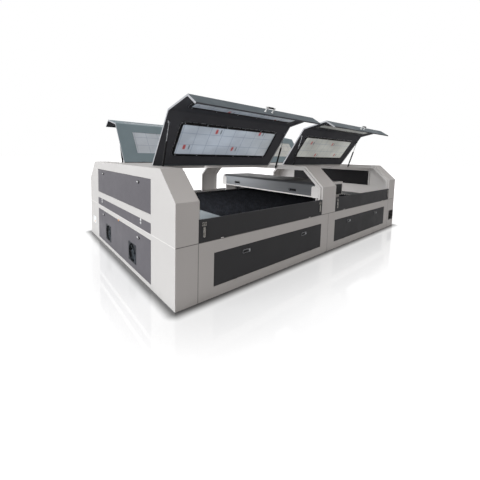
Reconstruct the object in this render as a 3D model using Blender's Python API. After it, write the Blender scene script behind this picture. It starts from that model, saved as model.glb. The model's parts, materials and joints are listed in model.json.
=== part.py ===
"""Enclosed gantry laser cutting machine: a floor-standing sheet-metal body with four folded lids.

Metres, +Z up. The length runs along X, the front faces -Y, and the origin is on the floor at the
centre of the machine's bounding box. Depths are measured inwards from the front or the back face.
"""

import math

import bmesh
import bpy
from mathutils import Matrix, Vector

# Casing, along the length from the left end to the right end
END_LEFT = 0.198
BAY_LEFT = 1.747
MIDDLE_ARCH = 0.309
BAY_RIGHT = 1.778
END_RIGHT = 0.268

# Casing, end profile
DEPTH = 2.540
HEIGHT = 1.043
SEAM_Z = 0.478
SHOULDER_Z = 0.808
CROWN_SETBACK = 0.250
WALL = 0.003
GAP = 0.0003

# Arch edges: a rebate that the closed lids and flaps sit in
REBATE_WIDTH = 0.020
REBATE_DEPTH = 0.020
LIP_DEPTH = 0.050
FOOT_FLANGE = 0.050

# End panels and their rebated openings
PANEL_INSET = 0.425
PANEL_FOLD = 0.018
PANEL_CLEARANCE = 0.003
PANEL_SHEET = 0.002
SEAT_LIP = 0.015
UPPER_PANEL_BOTTOM = 0.649
UPPER_PANEL_FROM_TOP = 0.095
LOWER_PANEL_Z = (0.037, 0.428)
END_STRIP_TOP = 0.575
TRIM_PROUD = 0.0015

# Base weldment
SIDE_BEAM_INSET = 0.256
SIDE_BEAM_WIDTH = 0.129
SIDE_BEAM_Z = (0.240, 0.440)
BEAM_WALL = 0.006
BASE_FLANGE = 0.060
BED_LEDGE_Z = 0.390
BED_LEDGE_WIDTH = 0.040
CROSS_MEMBER_SIZE = 0.060
CROSS_MEMBER_TOP = 0.375
BULKHEAD_TOP = 0.385
BULKHEAD_FRAME = 0.060
RUNNER_WIDTH = 0.040
BASE_JOINT = 0.155
DECK_Z = 0.500
DECK_FROM_END = 0.850
DECK_RIGHT = 0.182
DECK_INSET = 0.400

# Front doors, scrap trays and rear service covers
DOOR_LEFT_FROM_BAY = (0.152, -0.001)
DOOR_RIGHT_FROM_BAY = (0.009, 0.156)
DOOR_Z = (0.088, 0.372)
LOCK_FROM_CENTRE = 0.438
LOCK_Z = 0.313
LOCK_SIZE = (0.100, 0.045)
LOCK_PROUD = 0.006
TRAY_TOP = 0.232
TRAY_SIDE_CLEARANCE = 0.022
TRAY_SETBACK = 0.024
TRAY_SHEET = 0.002

# Lift-off hinges of the doors and flaps
HINGE_RADIUS = 0.004
HINGE_STANDOFF = 0.0005
HINGE_BARREL = 0.026
HINGE_LEAF = 0.0025
HINGE_LEAF_HEIGHT = 0.018
HINGE_LEAF_SETBACK = 0.001
HINGE_SPACING_SHARE = 0.36

# Loading flaps above the base
FLAP_TOP = 0.658
FLAP_FOLD = 0.018
FLAP_CLEARANCE = 0.003
LATCH_FROM_EDGE = 0.050
LATCH_WIDTH = 0.034
LATCH_Z = (0.515, 0.606)
LATCH_PROUD = 0.007
KEEPER_Z = (0.609, 0.640)
KEEPER_WIDTH = 0.044

# Lids, described closed
LID_HINGE_SETBACK = 0.868
LID_HINGE_RISE = 0.005
LID_HINGE_RADIUS = 0.0045
LID_HINGE_BARREL = 0.045
LID_HINGE_SPACING = 0.657
LID_HINGE_LEAF = 0.035
LID_SHEET = 0.002
LID_FLANGE = 0.017
LID_CLEARANCE = 0.003
LID_BOTTOM = 0.662
LID_OPEN_ANGLE = math.radians(56.0)
WINDOW_MARGIN_X = 0.200
WINDOW_FROM_HINGE = (0.148, 0.487)
SLANT_WINDOW_MARGIN_X = 0.165
SLANT_WINDOW_HEIGHT = 0.090
PANE_OVERLAP = 0.018
PANE_THICKNESS = 0.004
HANDLE_POSTS = 0.100
HANDLE_REACH = 0.045
HANDLE_RADIUS = 0.006
HANDLE_Z = 0.720

# Top panels between the lids
TOP_PANEL_EDGE = 0.035
TOP_RIB_COUNT = 2
TOP_RIB_WIDTH = 0.060

# Gas struts
STRUT_LOWER_DEPTH = 0.700
STRUT_LOWER_FROM_TOP = 0.040
STRUT_LID_DISTANCE = 0.504
STRUT_LID_DROP = 0.030
STRUT_FROM_BAY_EDGE = 0.0375
STRUT_RADIUS = 0.011
STRUT_TUBE_START = 0.0065
STRUT_TUBE_END = 0.290
STRUT_BORE_START = 0.115
ROD_RADIUS = 0.004
ROD_CLEARANCE = 0.0004
ROD_GUIDE = 0.030
STRUT_EYE_RADIUS = 0.009
STRUT_EYE_WIDTH = 0.010
STRUT_PIN_RADIUS = 0.004
STRUT_BRACKET = 0.022
PIN_CLEARANCE = 0.0003

# Slat bed
BED_INSET = 0.402
SLAT_PITCH = 0.200
SLAT_SHEET = 0.003
SLAT_Z = (0.420, 0.508)
SLAT_TOOTH_DEPTH = 0.020
SLAT_TEETH = 5
BED_BAR = 0.005
BED_BAR_TOP = 0.450

# Guide rails and racks
RAIL_START = 0.050
RAIL_FROM_RIGHT = 0.350
RAIL_INSET = 0.275
RAIL_WIDTH = 0.022
RAIL_HEIGHT = 0.024
RAIL_WAIST = 0.004
SEAT_BAR_HEIGHT = 0.006
RACK_START = 0.390
RACK_FROM_RIGHT = 0.780
RACK_INSET = 0.330
RACK_WIDTH = 0.025
MODULE = 0.012
PINION_TEETH = 12
PRESSURE_ANGLE = math.radians(20.0)
TOOTH_BACKLASH = 0.0012
PITCH_LINE_Z = 0.500

# Gantry
GANTRY_X = 2.270
COVER_WIDTH = 0.660
COVER_Z = (0.614, 0.810)
COVER_INSET = 0.256
COVER_CHAMFER = 0.030
COVER_SHEET = 0.003
COVER_LIP = 0.015
COVER_SLOT = (0.120, 0.028)
COVER_SLOT_FROM_CENTRE = 0.600
COVER_SLOT_Z = 0.682
COVER_END_PANEL_Z = (0.630, 0.756)
GANTRY_BEAM_WIDTH = 0.180
GANTRY_BEAM_BOTTOM = 0.630
GANTRY_BEAM_WALL = 0.006
END_PLATE_INSET = 0.296
END_PLATE = 0.014
FOOT_PLATE = 0.012
FOOT_INSET = 0.260
FOOT_WIDTH = 0.062
SLIDER_LENGTH = 0.090
SLIDER_FROM_CENTRE = 0.225
SLIDER_WIDTH = 0.048
SLIDER_CLEARANCE = 0.0003
SHAFT_RADIUS = 0.0125
SHAFT_CLEARANCE = 0.0003
MOTOR_INSET = 0.375
MOTOR_BLOCK = (0.120, 0.100)
MOTOR_RADIUS = 0.040
MOTOR_TOP = 0.785
MOTOR_BLOCK_BOTTOM = 0.535
MOTOR_SHELF_Z = 0.664
MOTOR_SHELF = 0.005
BEAM_RAIL = 0.015
BEAM_RAIL_Z = (0.665, 0.745)
CARRIAGE_WIDTH = 0.160
CARRIAGE_PLATE = 0.010
CARRIAGE_Z = (0.640, 0.775)
HEAD_SIZE = 0.070
HEAD_Z = (0.600, 0.770)
NOZZLE_TIP_Z = 0.545
NOZZLE_RADIUS = 0.006

# Fans in the left end's lower panel
FAN_FROM_CENTRE = 0.402
FAN_Z = 0.190
FAN_FRAME = 0.205
FAN_FRAME_DEPTH = 0.040
FAN_BORE = 0.095
FAN_BLADE_TIP = 0.090
FAN_HUB = 0.034
FAN_BLADES = 7
FAN_BLADE_TWIST = math.radians(38.0)

# Vent in the right end's front
VENT_FROM_END = 0.108
VENT_WIDTH = 0.180
VENT_Z = (0.121, 0.270)
VENT_SLOTS = 6

CAM_LOCK_RADIUS = 0.012
CAM_LOCK_PROUD = 0.005
SMALL_SIDES = 6
EYE_SIDES = 8
ROUND_SIDES = 14

LENGTH = END_LEFT + BAY_LEFT + MIDDLE_ARCH + BAY_RIGHT + END_RIGHT
HINGE_AXIS_OUT = HINGE_RADIUS + HINGE_STANDOFF
FRONT_REACH = HINGE_AXIS_OUT + HINGE_RADIUS
BACK_REACH = 2 * HINGE_AXIS_OUT + FLAP_FOLD
CENTRE_Y = (FRONT_REACH - BACK_REACH) / 2
UPPER_PANEL_Z = (UPPER_PANEL_BOTTOM, HEIGHT - UPPER_PANEL_FROM_TOP)
STRUT_LOWER_Z = HEIGHT - STRUT_LOWER_FROM_TOP
HALF_DEPTH = DEPTH / 2
X_LEFT = -LENGTH / 2
X_BAY_LEFT = X_LEFT + END_LEFT
X_MIDDLE = X_BAY_LEFT + BAY_LEFT
X_BAY_RIGHT = X_MIDDLE + MIDDLE_ARCH
X_END_RIGHT = X_BAY_RIGHT + BAY_RIGHT
X_RIGHT = LENGTH / 2
X_JOINT = X_MIDDLE + BASE_JOINT
X_BED = X_LEFT + DECK_FROM_END
X_BED_END = X_END_RIGHT - DECK_RIGHT
BAYS = {"left": (X_BAY_LEFT, X_MIDDLE), "right": (X_BAY_RIGHT, X_END_RIGHT)}
DOORS = {"left": (X_BAY_LEFT + DOOR_LEFT_FROM_BAY[0], X_MIDDLE - DOOR_LEFT_FROM_BAY[1]),
         "right": (X_BAY_RIGHT + DOOR_RIGHT_FROM_BAY[0], X_END_RIGHT - DOOR_RIGHT_FROM_BAY[1])}
SIDES = {"front": -1, "back": 1}
FAR = 0.05
SNAP_DIGITS = 6

COLOURS = {
    "light_paint": ((0.66, 0.66, 0.67), 0.42, 0.0),
    "warm_paint": ((0.28, 0.26, 0.24), 0.45, 0.0),
    "dark_paint": ((0.035, 0.035, 0.037), 0.5, 0.0),
    "slate_paint": ((0.075, 0.09, 0.094), 0.42, 0.0),
    "end_panel_paint": ((0.15, 0.14, 0.16), 0.45, 0.0),
    "bed_black": ((0.012, 0.012, 0.013), 0.6, 0.2),
    "window_film": ((0.48, 0.52, 0.58), 0.25, 0.0),
    "steel": ((0.55, 0.56, 0.58), 0.3, 1.0),
    "black_plastic": ((0.02, 0.02, 0.02), 0.4, 0.0),
    "cream_paint": ((0.72, 0.68, 0.66), 0.45, 0.0),
}


def y_at(side, depth):
    """World y of a point that lies depth inwards from the front (side -1) or the back (side 1)."""
    return CENTRE_Y + side * (HALF_DEPTH - depth)


def clear_scene():
    for item in list(bpy.data.objects):
        bpy.data.objects.remove(item, do_unlink=True)


def new_collection(name):
    collection = bpy.data.collections.new(name)
    bpy.context.scene.collection.children.link(collection)
    return collection


def paint(name, colour):
    """A Principled material of its own for one sub-part."""
    material = bpy.data.materials.new(name)
    material.use_nodes = True
    rgb, roughness, metallic = COLOURS[colour]
    shader = material.node_tree.nodes["Principled BSDF"]
    shader.inputs["Base Color"].default_value = (*rgb, 1.0)
    shader.inputs["Roughness"].default_value = roughness
    shader.inputs["Metallic"].default_value = metallic
    return material


def link_mesh(mesh, name="shape"):
    item = bpy.data.objects.new(name, mesh)
    bpy.context.scene.collection.objects.link(item)
    return item


def from_bmesh(work, name="shape"):
    """A mesh object whose corners lie on a grid of a thousandth of a millimetre, so that faces meet."""
    mesh = bpy.data.meshes.new(name)
    for vert in work.verts:
        vert.co = [round(value, SNAP_DIGITS) for value in vert.co]
    bmesh.ops.recalc_face_normals(work, faces=work.faces)
    work.to_mesh(mesh)
    work.free()
    return link_mesh(mesh, name)


def evaluated_mesh(item):
    bpy.context.view_layer.update()
    graph = bpy.context.evaluated_depsgraph_get()
    return bpy.data.meshes.new_from_object(item.evaluated_get(graph))


def box(x, y, z):
    """A box between two corners, given as a pair for each axis in either order."""
    low = [min(pair) for pair in (x, y, z)]
    size = [abs(pair[1] - pair[0]) for pair in (x, y, z)]
    centre = [a + s / 2 for a, s in zip(low, size)]
    work = bmesh.new()
    matrix = Matrix.Translation(centre) @ Matrix.Diagonal((*size, 1.0))
    bmesh.ops.create_cube(work, size=1.0, matrix=matrix)
    return from_bmesh(work)


def cylinder(centre, axis, radius, length, sides=ROUND_SIDES, radius_end=None):
    """A cylinder or cone about its centre; axis is the direction from its first to its last end."""
    work = bmesh.new()
    turn = Vector((0, 0, 1)).rotation_difference(Vector(axis)).to_matrix().to_4x4()
    last = radius if radius_end is None else radius_end
    bmesh.ops.create_cone(work, cap_ends=True, segments=sides, radius1=radius, radius2=last,
                          depth=length, matrix=Matrix.Translation(centre) @ turn)
    return from_bmesh(work)


def bore_radius(radius, sides):
    """Radius at the corners of a bore with flat sides that clears a round of the given radius."""
    return radius / math.cos(math.pi / sides)


def prism(loops, axis, span):
    """Outlines extruded along an axis, the first one solid and the others cut out of it.

    Points are (y, z) for an extrusion along X, (x, z) along Y and (x, y) along Z.
    """
    low, high = min(span), max(span)
    solid = extruded(loops[0], axis, low, high)
    holes = [extruded(loop, axis, low - FAR, high + FAR) for loop in loops[1:]]
    return combine([solid], holes) if holes else solid


def extruded(loop, axis, low, high):
    """One outline, given its thickness as a flat curve, capped and turned onto its axis."""
    columns = {"X": ((0, 1, 0), (0, 0, 1), (1, 0, 0)),
               "Y": ((0, 0, 1), (1, 0, 0), (0, 1, 0)),
               "Z": ((1, 0, 0), (0, 1, 0), (0, 0, 1))}[axis]
    curve = bpy.data.curves.new("outline", "CURVE")
    curve.dimensions = "2D"
    curve.fill_mode = "NONE"
    curve.extrude = (high - low) / 2
    points = [(v, u) for u, v in loop] if axis == "Y" else loop
    spline = curve.splines.new("POLY")
    spline.points.add(len(points) - 1)
    for point, (u, v) in zip(spline.points, points):
        point.co = (u, v, 0.0, 1.0)
    spline.use_cyclic_u = True
    item = bpy.data.objects.new("outline", curve)
    bpy.context.scene.collection.objects.link(item)
    mesh = evaluated_mesh(item)
    bpy.data.objects.remove(item, do_unlink=True)
    place = Matrix(columns).transposed().to_4x4()
    place.translation = place.to_3x3() @ Vector((0.0, 0.0, (low + high) / 2))
    work = bmesh.new()
    work.from_mesh(mesh)
    bmesh.ops.remove_doubles(work, verts=work.verts, dist=1e-6)
    bmesh.ops.holes_fill(work, edges=work.edges, sides=0)
    bmesh.ops.transform(work, matrix=place, verts=work.verts)
    return from_bmesh(work)


def combine(solids, cuts=()):
    """The union of solids, less the cuts, as one mesh; the shapes that went in are removed."""
    first = solids[0]
    for operation, others in (("UNION", solids[1:]), ("DIFFERENCE", cuts)):
        for other in others:
            modifier = first.modifiers.new(operation.title(), "BOOLEAN")
            modifier.operation = operation
            modifier.solver = "EXACT"
            modifier.object = other
    mesh = evaluated_mesh(first)
    for item in (*solids, *cuts):
        bpy.data.objects.remove(item, do_unlink=True)
    return link_mesh(mesh)


def finish(item, name, colour, origin=(0.0, 0.0, 0.0), turn=0.0, smooth=False):
    """Names the piece, gives it its paint, puts its origin on its axis and turns it about X there."""
    mesh = item.data
    mesh.transform(Matrix.Translation(-Vector(origin)) @ item.matrix_world)
    item.matrix_world = Matrix.Identity(4)
    item.location = origin
    item.rotation_euler.x = turn
    item.name = name
    mesh.name = name
    mesh.materials.clear()
    mesh.materials.append(paint(name, colour))
    if smooth:
        mesh.shade_smooth()
        mesh.set_sharp_from_angle(angle=math.radians(35))
    bpy.context.scene.collection.objects.unlink(item)
    PARTS.objects.link(item)
    return item


def shoulder(inset):
    """Depth and height of the lower fold of the end profile, inset square to its faces."""
    rise = HEIGHT - SHOULDER_Z
    slope = math.hypot(rise, CROWN_SETBACK)
    return inset, SHOULDER_Z - inset * (slope - rise) / CROWN_SETBACK


def crown(inset):
    """Depth and height of the upper fold of the end profile."""
    rise = HEIGHT - SHOULDER_Z
    slope = math.hypot(rise, CROWN_SETBACK)
    return CROWN_SETBACK + inset * (slope - CROWN_SETBACK) / rise, HEIGHT - inset


def end_profile(inset, foot):
    """The six corners of the casing's end profile, from the front foot to the back foot."""
    half = [(inset, foot), shoulder(inset), crown(inset)]
    return [(y_at(-1, d), z) for d, z in half] + [(y_at(1, d), z) for d, z in reversed(half)]


def folded_arch(section, foot):
    """A closed section of sheet, as x and inset, carried round the six corners of the end profile."""
    work = bmesh.new()
    stations = zip(*[[(x, y, z) for y, z in end_profile(inset, foot)] for x, inset in section])
    rings = [[work.verts.new(point) for point in station] for station in stations]
    count = len(section)
    for near, far in zip(rings, rings[1:]):
        for i in range(count):
            j = (i + 1) % count
            work.faces.new((near[i], near[j], far[j], far[i]))
    work.faces.new(rings[0])
    work.faces.new(rings[-1])
    return from_bmesh(work)


def rebated_edge(x, direction):
    """The folded edge of an arch, from its skin outwards: down, out into the bay, and down again."""
    back = x - direction * WALL
    out = x + direction * REBATE_WIDTH
    step = REBATE_DEPTH + WALL
    outside = [(x, 0.0), (x, REBATE_DEPTH), (out, REBATE_DEPTH), (out, LIP_DEPTH)]
    inside = [(out - direction * WALL, LIP_DEPTH), (out - direction * WALL, step), (back, step), (back, WALL)]
    return outside + inside


def foot_flanges(span, z_low, width=FOOT_FLANGE):
    """Flanges folded inwards from the front and back walls, short of the plates at their ends."""
    low, high = min(span) + WALL / 2, max(span) - WALL / 2
    return [box((low, high), (y_at(s, WALL / 2), y_at(s, width)), (z_low, z_low + WALL)) for s in (-1, 1)]


def panel_seat(x_face, inward, z_span):
    """Walls and lip of the rebated opening in an end wall, with its two cutters."""
    depth = PANEL_FOLD + GAP
    y = (y_at(-1, PANEL_INSET), y_at(1, PANEL_INSET))
    grown = (y[0] - WALL, y[1] + WALL)
    shrunk = (y[0] + SEAT_LIP, y[1] - SEAT_LIP)
    body = box((x_face, x_face + inward * (depth + WALL)), grown, (z_span[0] - WALL, z_span[1] + WALL))
    pocket = box((x_face - inward * FAR, x_face + inward * depth), y, z_span)
    through = box((x_face - inward * FAR, x_face + inward * FAR), shrunk,
                  (z_span[0] + SEAT_LIP, z_span[1] - SEAT_LIP))
    return body, [pocket, through]


def cam_lock(x, y, z, axis, sunk=0.001):
    """A round quarter-turn lock that stands out of a panel along axis from the given face point."""
    direction = Vector(axis)
    centre = Vector((x, y, z)) + direction * (CAM_LOCK_PROUD - sunk) / 2
    return cylinder(centre, direction, CAM_LOCK_RADIUS, CAM_LOCK_PROUD + sunk, SMALL_SIDES)


def make_end_arch(name, x_face, x_bay):
    """A closed end of the upper casing, open to its bay."""
    inward = 1 if x_bay > x_face else -1
    foot = SEAM_Z + GAP
    wall = prism([end_profile(WALL / 2, foot)], "X", (x_face, x_face + inward * WALL))
    seat, cuts = panel_seat(x_face, inward, UPPER_PANEL_Z)
    strip = box((x_face - inward * TRIM_PROUD, x_face + inward * WALL / 2),
                (y_at(-1, PANEL_INSET), y_at(1, PANEL_INSET)), (foot, END_STRIP_TOP))
    skin = folded_arch([(x_face, 0.0), *rebated_edge(x_bay, inward), (x_face, WALL)], foot)
    item = combine([skin, wall, seat, strip, *foot_flanges((x_face, x_bay), foot)], cuts)
    return finish(item, name, "light_paint")


def make_middle_arch():
    """The arch between the two bays, open through so that the gantry passes under it."""
    foot = SEAM_Z + GAP
    skin = folded_arch(rebated_edge(X_BAY_RIGHT, 1) + rebated_edge(X_MIDDLE, -1)[::-1], foot)
    item = combine([skin, *foot_flanges((X_MIDDLE, X_BAY_RIGHT), foot)])
    return finish(item, "middle_arch", "light_paint")


def make_end_panel(name, x_face, inward, z_span, fans=False):
    """A folded cover in an end wall's opening, with a cam lock near each top corner."""
    edge = PANEL_CLEARANCE
    y = (y_at(-1, PANEL_INSET + edge), y_at(1, PANEL_INSET + edge))
    z = (z_span[0] + edge, z_span[1] - edge)
    pan = box((x_face, x_face + inward * PANEL_FOLD), y, z)
    hollow = box((x_face + inward * PANEL_SHEET, x_face + inward * FAR),
                 (y[0] + PANEL_SHEET, y[1] - PANEL_SHEET), (z[0] + PANEL_SHEET, z[1] - PANEL_SHEET))
    pan = combine([pan], [hollow])
    half_lock = (y[1] - y[0]) / 2 * 0.69
    locks = [cam_lock(x_face, CENTRE_Y + s * half_lock, z[1] - 0.045, (-inward, 0, 0)) for s in (-1, 1)]
    adds, cuts = [], []
    if fans:
        for side in (-1, 1):
            frame_parts, frame_cuts = fan_frame(x_face, CENTRE_Y + side * FAN_FROM_CENTRE)
            adds += frame_parts
            cuts += frame_cuts
        pan = combine([pan, *adds], cuts)
        spiders = [s for side in (-1, 1) for s in fan_spider(x_face, CENTRE_Y + side * FAN_FROM_CENTRE)]
        return finish(combine([pan, *locks, *spiders]), name, "end_panel_paint")
    return finish(combine([pan, *locks]), name, "end_panel_paint")


def fan_frame(x_face, y):
    """Square duct of a fan behind the panel, with the round bore through both."""
    half = FAN_FRAME / 2
    block = box((x_face + PANEL_SHEET / 2, x_face + FAN_FRAME_DEPTH), (y - half, y + half),
                (FAN_Z - half, FAN_Z + half))
    bore = cylinder((x_face, y, FAN_Z), (1, 0, 0), FAN_BORE, 4 * FAN_FRAME_DEPTH, 2 * EYE_SIDES)
    return [block], [bore]


def fan_spider(x_face, y):
    """Hub and four arms at the back of the duct, which carry the impeller's spindle."""
    back = x_face + FAN_FRAME_DEPTH
    front = back - 0.004
    hub = cylinder(((front + back) / 2, y, FAN_Z), (1, 0, 0), FAN_HUB, back - front, ROUND_SIDES)
    reach = FAN_BORE + 0.004
    return [hub, box((front, back), (y - reach, y + reach), (FAN_Z - 0.004, FAN_Z + 0.004)),
            box((front, back), (y - 0.004, y + 0.004), (FAN_Z - reach, FAN_Z + reach))]


def make_fan_impeller(name, y):
    """Hub with twisted blades, on a spindle that ends just short of the spider's hub."""
    x_face = X_LEFT
    front, back = x_face + 0.006, x_face + FAN_FRAME_DEPTH - 0.004 - GAP
    middle = (front + back) / 2
    hub = cylinder((middle, y, FAN_Z), (1, 0, 0), FAN_HUB, back - front, ROUND_SIDES)
    blades = []
    for index in range(FAN_BLADES):
        work = bmesh.new()
        length = FAN_BLADE_TIP - FAN_HUB + 0.006
        chord = (back - front) / math.cos(FAN_BLADE_TWIST) * 0.85
        size = Matrix.Diagonal((chord, 0.0025, length, 1.0))
        bmesh.ops.create_cube(work, size=1.0, matrix=size)
        twist = Matrix.Rotation(FAN_BLADE_TWIST, 4, "Z")
        lift = Matrix.Translation((0, 0, FAN_HUB - 0.006 + length / 2))
        spin = Matrix.Rotation(index * math.tau / FAN_BLADES, 4, "X")
        place = Matrix.Translation((middle, y, FAN_Z)) @ spin @ lift @ twist
        bmesh.ops.transform(work, matrix=place, verts=work.verts)
        blades.append(from_bmesh(work))
    item = combine([hub, *blades])
    return finish(item, name, "black_plastic", origin=(middle, y, FAN_Z), smooth=True)


def side_beam(side, span):
    """The outside of the rectangular tube along the base that carries the guide rail."""
    y = (y_at(side, SIDE_BEAM_INSET), y_at(side, SIDE_BEAM_INSET + SIDE_BEAM_WIDTH))
    return box(span, y, SIDE_BEAM_Z)


def rectangle(a, b, c, d):
    low, high = min(a, b), max(a, b)
    return [(low, c), (high, c), (high, d), (low, d)]


def beam_bores(span):
    """Cutters for the hollows of both side beams and of the bulkheads that they run through."""
    near = SIDE_BEAM_INSET + BEAM_WALL
    far = SIDE_BEAM_INSET + SIDE_BEAM_WIDTH - BEAM_WALL
    return [box(span, (y_at(s, near), y_at(s, far)), (SIDE_BEAM_Z[0] + BEAM_WALL, SIDE_BEAM_Z[1] - BEAM_WALL))
            for s in (-1, 1)]


def bulkhead(span):
    """Bolting frame across the base, open in the middle and at the beams."""
    inner = SIDE_BEAM_INSET + SIDE_BEAM_WIDTH
    half = [(0.0, 0.0), (0.0, SEAM_Z), (FOOT_FLANGE, SEAM_Z), (FOOT_FLANGE, SIDE_BEAM_Z[1] - WALL / 2),
            (inner - BEAM_WALL / 2, SIDE_BEAM_Z[1] - WALL / 2), (inner - BEAM_WALL / 2, BULKHEAD_TOP)]
    outline = [(y_at(-1, d), z) for d, z in half] + [(y_at(1, d), z) for d, z in reversed(half)]
    window = rectangle(y_at(-1, inner + 0.03), y_at(1, inner + 0.03), 0.05, BULKHEAD_TOP - BULKHEAD_FRAME)
    ducts = [rectangle(y_at(s, 0.04), y_at(s, SIDE_BEAM_INSET - 0.04), 0.05, SIDE_BEAM_Z[1] - 0.03)
             for s in (-1, 1)]
    return prism([outline, window, *ducts], "X", span)


def duct_lid(side, span):
    """Ledge between the outer wall and the side beam."""
    return box(span, (y_at(side, WALL / 2), y_at(side, SIDE_BEAM_INSET + BEAM_WALL / 2)),
               (SIDE_BEAM_Z[1] - WALL, SIDE_BEAM_Z[1]))


def bed_ledge(side, span):
    inner = SIDE_BEAM_INSET + SIDE_BEAM_WIDTH
    return box(span, (y_at(side, inner - BEAM_WALL / 2), y_at(side, inner + BED_LEDGE_WIDTH)),
               (BED_LEDGE_Z - BED_BAR, BED_LEDGE_Z))


def deck(x_low, x_high):
    """Folded deck plate beside the bed, standing on the bed ledges."""
    y = (y_at(-1, DECK_INSET), y_at(1, DECK_INSET))
    top = box((x_low, x_high), y, (DECK_Z - WALL, DECK_Z))
    legs = [box((x_low, x_high), (y_at(s, DECK_INSET), y_at(s, DECK_INSET + WALL)),
                (BED_LEDGE_Z - BED_BAR / 2, DECK_Z)) for s in (-1, 1)]
    return [top, *legs]


def make_end_base(name, x_face, x_bay):
    """An end of the lower casing, with its panel opening and the stubs of both side beams."""
    inward = 1 if x_bay > x_face else -1
    x_in = x_bay - inward * GAP / 2
    low, high = sorted((x_face, x_in))
    walls = [box((low, high), (y_at(s, 0.0), y_at(s, WALL)), (0.0, SEAM_Z)) for s in (-1, 1)]
    end_wall = box((x_face, x_face + inward * WALL), (y_at(-1, 0.0), y_at(1, 0.0)), (0.0, SEAM_Z))
    seat, cuts = panel_seat(x_face, inward, LOWER_PANEL_Z)
    beam_from = x_face + inward * 0.030
    span = tuple(sorted((beam_from, x_in - inward * WALL / 2)))
    solids = [end_wall, *walls, seat, bulkhead(tuple(sorted((x_in - inward * BEAM_WALL, x_in)))),
              *foot_flanges((low, high), SEAM_Z - WALL), *foot_flanges((low, high), 0.0, BASE_FLANGE)]
    for side in (-1, 1):
        solids += [side_beam(side, span), duct_lid(side, span), bed_ledge(side, span)]
    solids += deck(*span)
    cuts += beam_bores(tuple(sorted((beam_from - inward * BEAM_WALL, x_bay + inward * FAR))))
    if x_face > x_bay:
        cuts += vent_slots(x_face)
    return finish(combine(solids, cuts), name, "light_paint")


def vent_slots(x_face):
    """Horizontal slots through the front wall of the right end."""
    centre = x_face - VENT_FROM_END
    pitch = (VENT_Z[1] - VENT_Z[0]) / VENT_SLOTS
    return [box((centre - VENT_WIDTH / 2, centre + VENT_WIDTH / 2), (y_at(-1, -FAR), y_at(-1, FAR)),
                (VENT_Z[0] + pitch * (i + 0.25), VENT_Z[0] + pitch * (i + 0.75))) for i in range(VENT_SLOTS)]


def barrel_pair(x, side, z_axis, moving):
    """One half of a lift-off hinge: its barrel and its leaf on a casing or on a flap."""
    start = x + GAP / 2 if moving else x - GAP / 2
    end = start + HINGE_BARREL if moving else start - HINGE_BARREL
    middle = (start + end) / 2
    barrel = cylinder((middle, y_at(side, -HINGE_AXIS_OUT), z_axis), (1, 0, 0), HINGE_RADIUS,
                      HINGE_BARREL, SMALL_SIDES)
    reach = HINGE_LEAF_HEIGHT
    span = (min(start, end) + HINGE_LEAF_SETBACK, max(start, end) - HINGE_LEAF_SETBACK)
    if moving:
        leaf = box(span, (y_at(side, -HINGE_LEAF), y_at(side, 0.001)),
                   (z_axis - HINGE_RADIUS / 2, z_axis + reach))
        return [barrel, leaf]
    rim = z_axis - HINGE_RADIUS - FLAP_CLEARANCE
    bridge = box(span, (y_at(side, -HINGE_LEAF), y_at(side, -HINGE_STANDOFF)), (rim - reach / 2, z_axis))
    leaf = box((span[0] - HINGE_LEAF_SETBACK / 2, span[1] + HINGE_LEAF_SETBACK / 2),
               (y_at(side, -HINGE_LEAF * 1.1), y_at(side, WALL / 2)), (rim - reach, rim - GAP))
    return [barrel, bridge, leaf]


def hinge_stations(x_low, x_high):
    centre, half = (x_low + x_high) / 2, (x_high - x_low) * HINGE_SPACING_SHARE
    return centre - half, centre + half


def door_axis_z():
    return DOOR_Z[0] + PANEL_CLEARANCE + HINGE_RADIUS


def flap_axis_z():
    return SEAM_Z + FLAP_CLEARANCE + HINGE_RADIUS


def make_base(name, x_low, x_high, door, bay, deck_span):
    """A welded lower half: walls, bulkheads, side beams, cross members, tray runners and deck."""
    walls = [box((x_low, x_high), (y_at(s, 0.0), y_at(s, WALL)), (0.0, SEAM_Z)) for s in (-1, 1)]
    depth = PANEL_FOLD + GAP
    grown = (door[0] - WALL, door[1] + WALL)
    surround = box(grown, (y_at(-1, 0.0), y_at(-1, depth + WALL)), (DOOR_Z[0] - WALL, DOOR_Z[1] + WALL))
    pocket = box(door, (y_at(-1, -FAR), y_at(-1, depth)), DOOR_Z)
    through = box((door[0] + SEAT_LIP, door[1] - SEAT_LIP), (y_at(-1, -FAR), y_at(-1, FAR)),
                  (DOOR_Z[0], DOOR_Z[1] - SEAT_LIP))
    solids = [*walls, surround, bulkhead((x_low, x_low + BEAM_WALL)), bulkhead((x_high - BEAM_WALL, x_high)),
              *foot_flanges((x_low, x_high), SEAM_Z - WALL), *foot_flanges((x_low, x_high), 0.0, BASE_FLANGE)]
    span = (x_low + WALL / 2, x_high - WALL / 2)
    for side in (-1, 1):
        solids += [side_beam(side, span), duct_lid(side, span), bed_ledge(side, span)]
    for share in (1 / 3, 2 / 3):
        solids.append(cross_member(x_low + share * (x_high - x_low)))
    for edge, direction in ((door[0], 1), (door[1], -1)):
        solids.append(box((edge, edge + direction * RUNNER_WIDTH), (y_at(-1, WALL / 2), y_at(1, WALL / 2)),
                          (0.0, DOOR_Z[0])))
    solids += deck(*deck_span)
    solids.append(box(door, (y_at(1, -TRIM_PROUD), y_at(1, WALL / 2)), DOOR_Z))
    for x in hinge_stations(*door):
        solids += barrel_pair(x, -1, door_axis_z(), moving=False)
    for side in (-1, 1):
        for x in hinge_stations(*bay):
            solids += barrel_pair(x, side, flap_axis_z(), moving=False)
    bores = beam_bores((x_low - FAR, x_high + FAR))
    return finish(combine(solids, [pocket, through, *bores]), name, "warm_paint")


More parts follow.
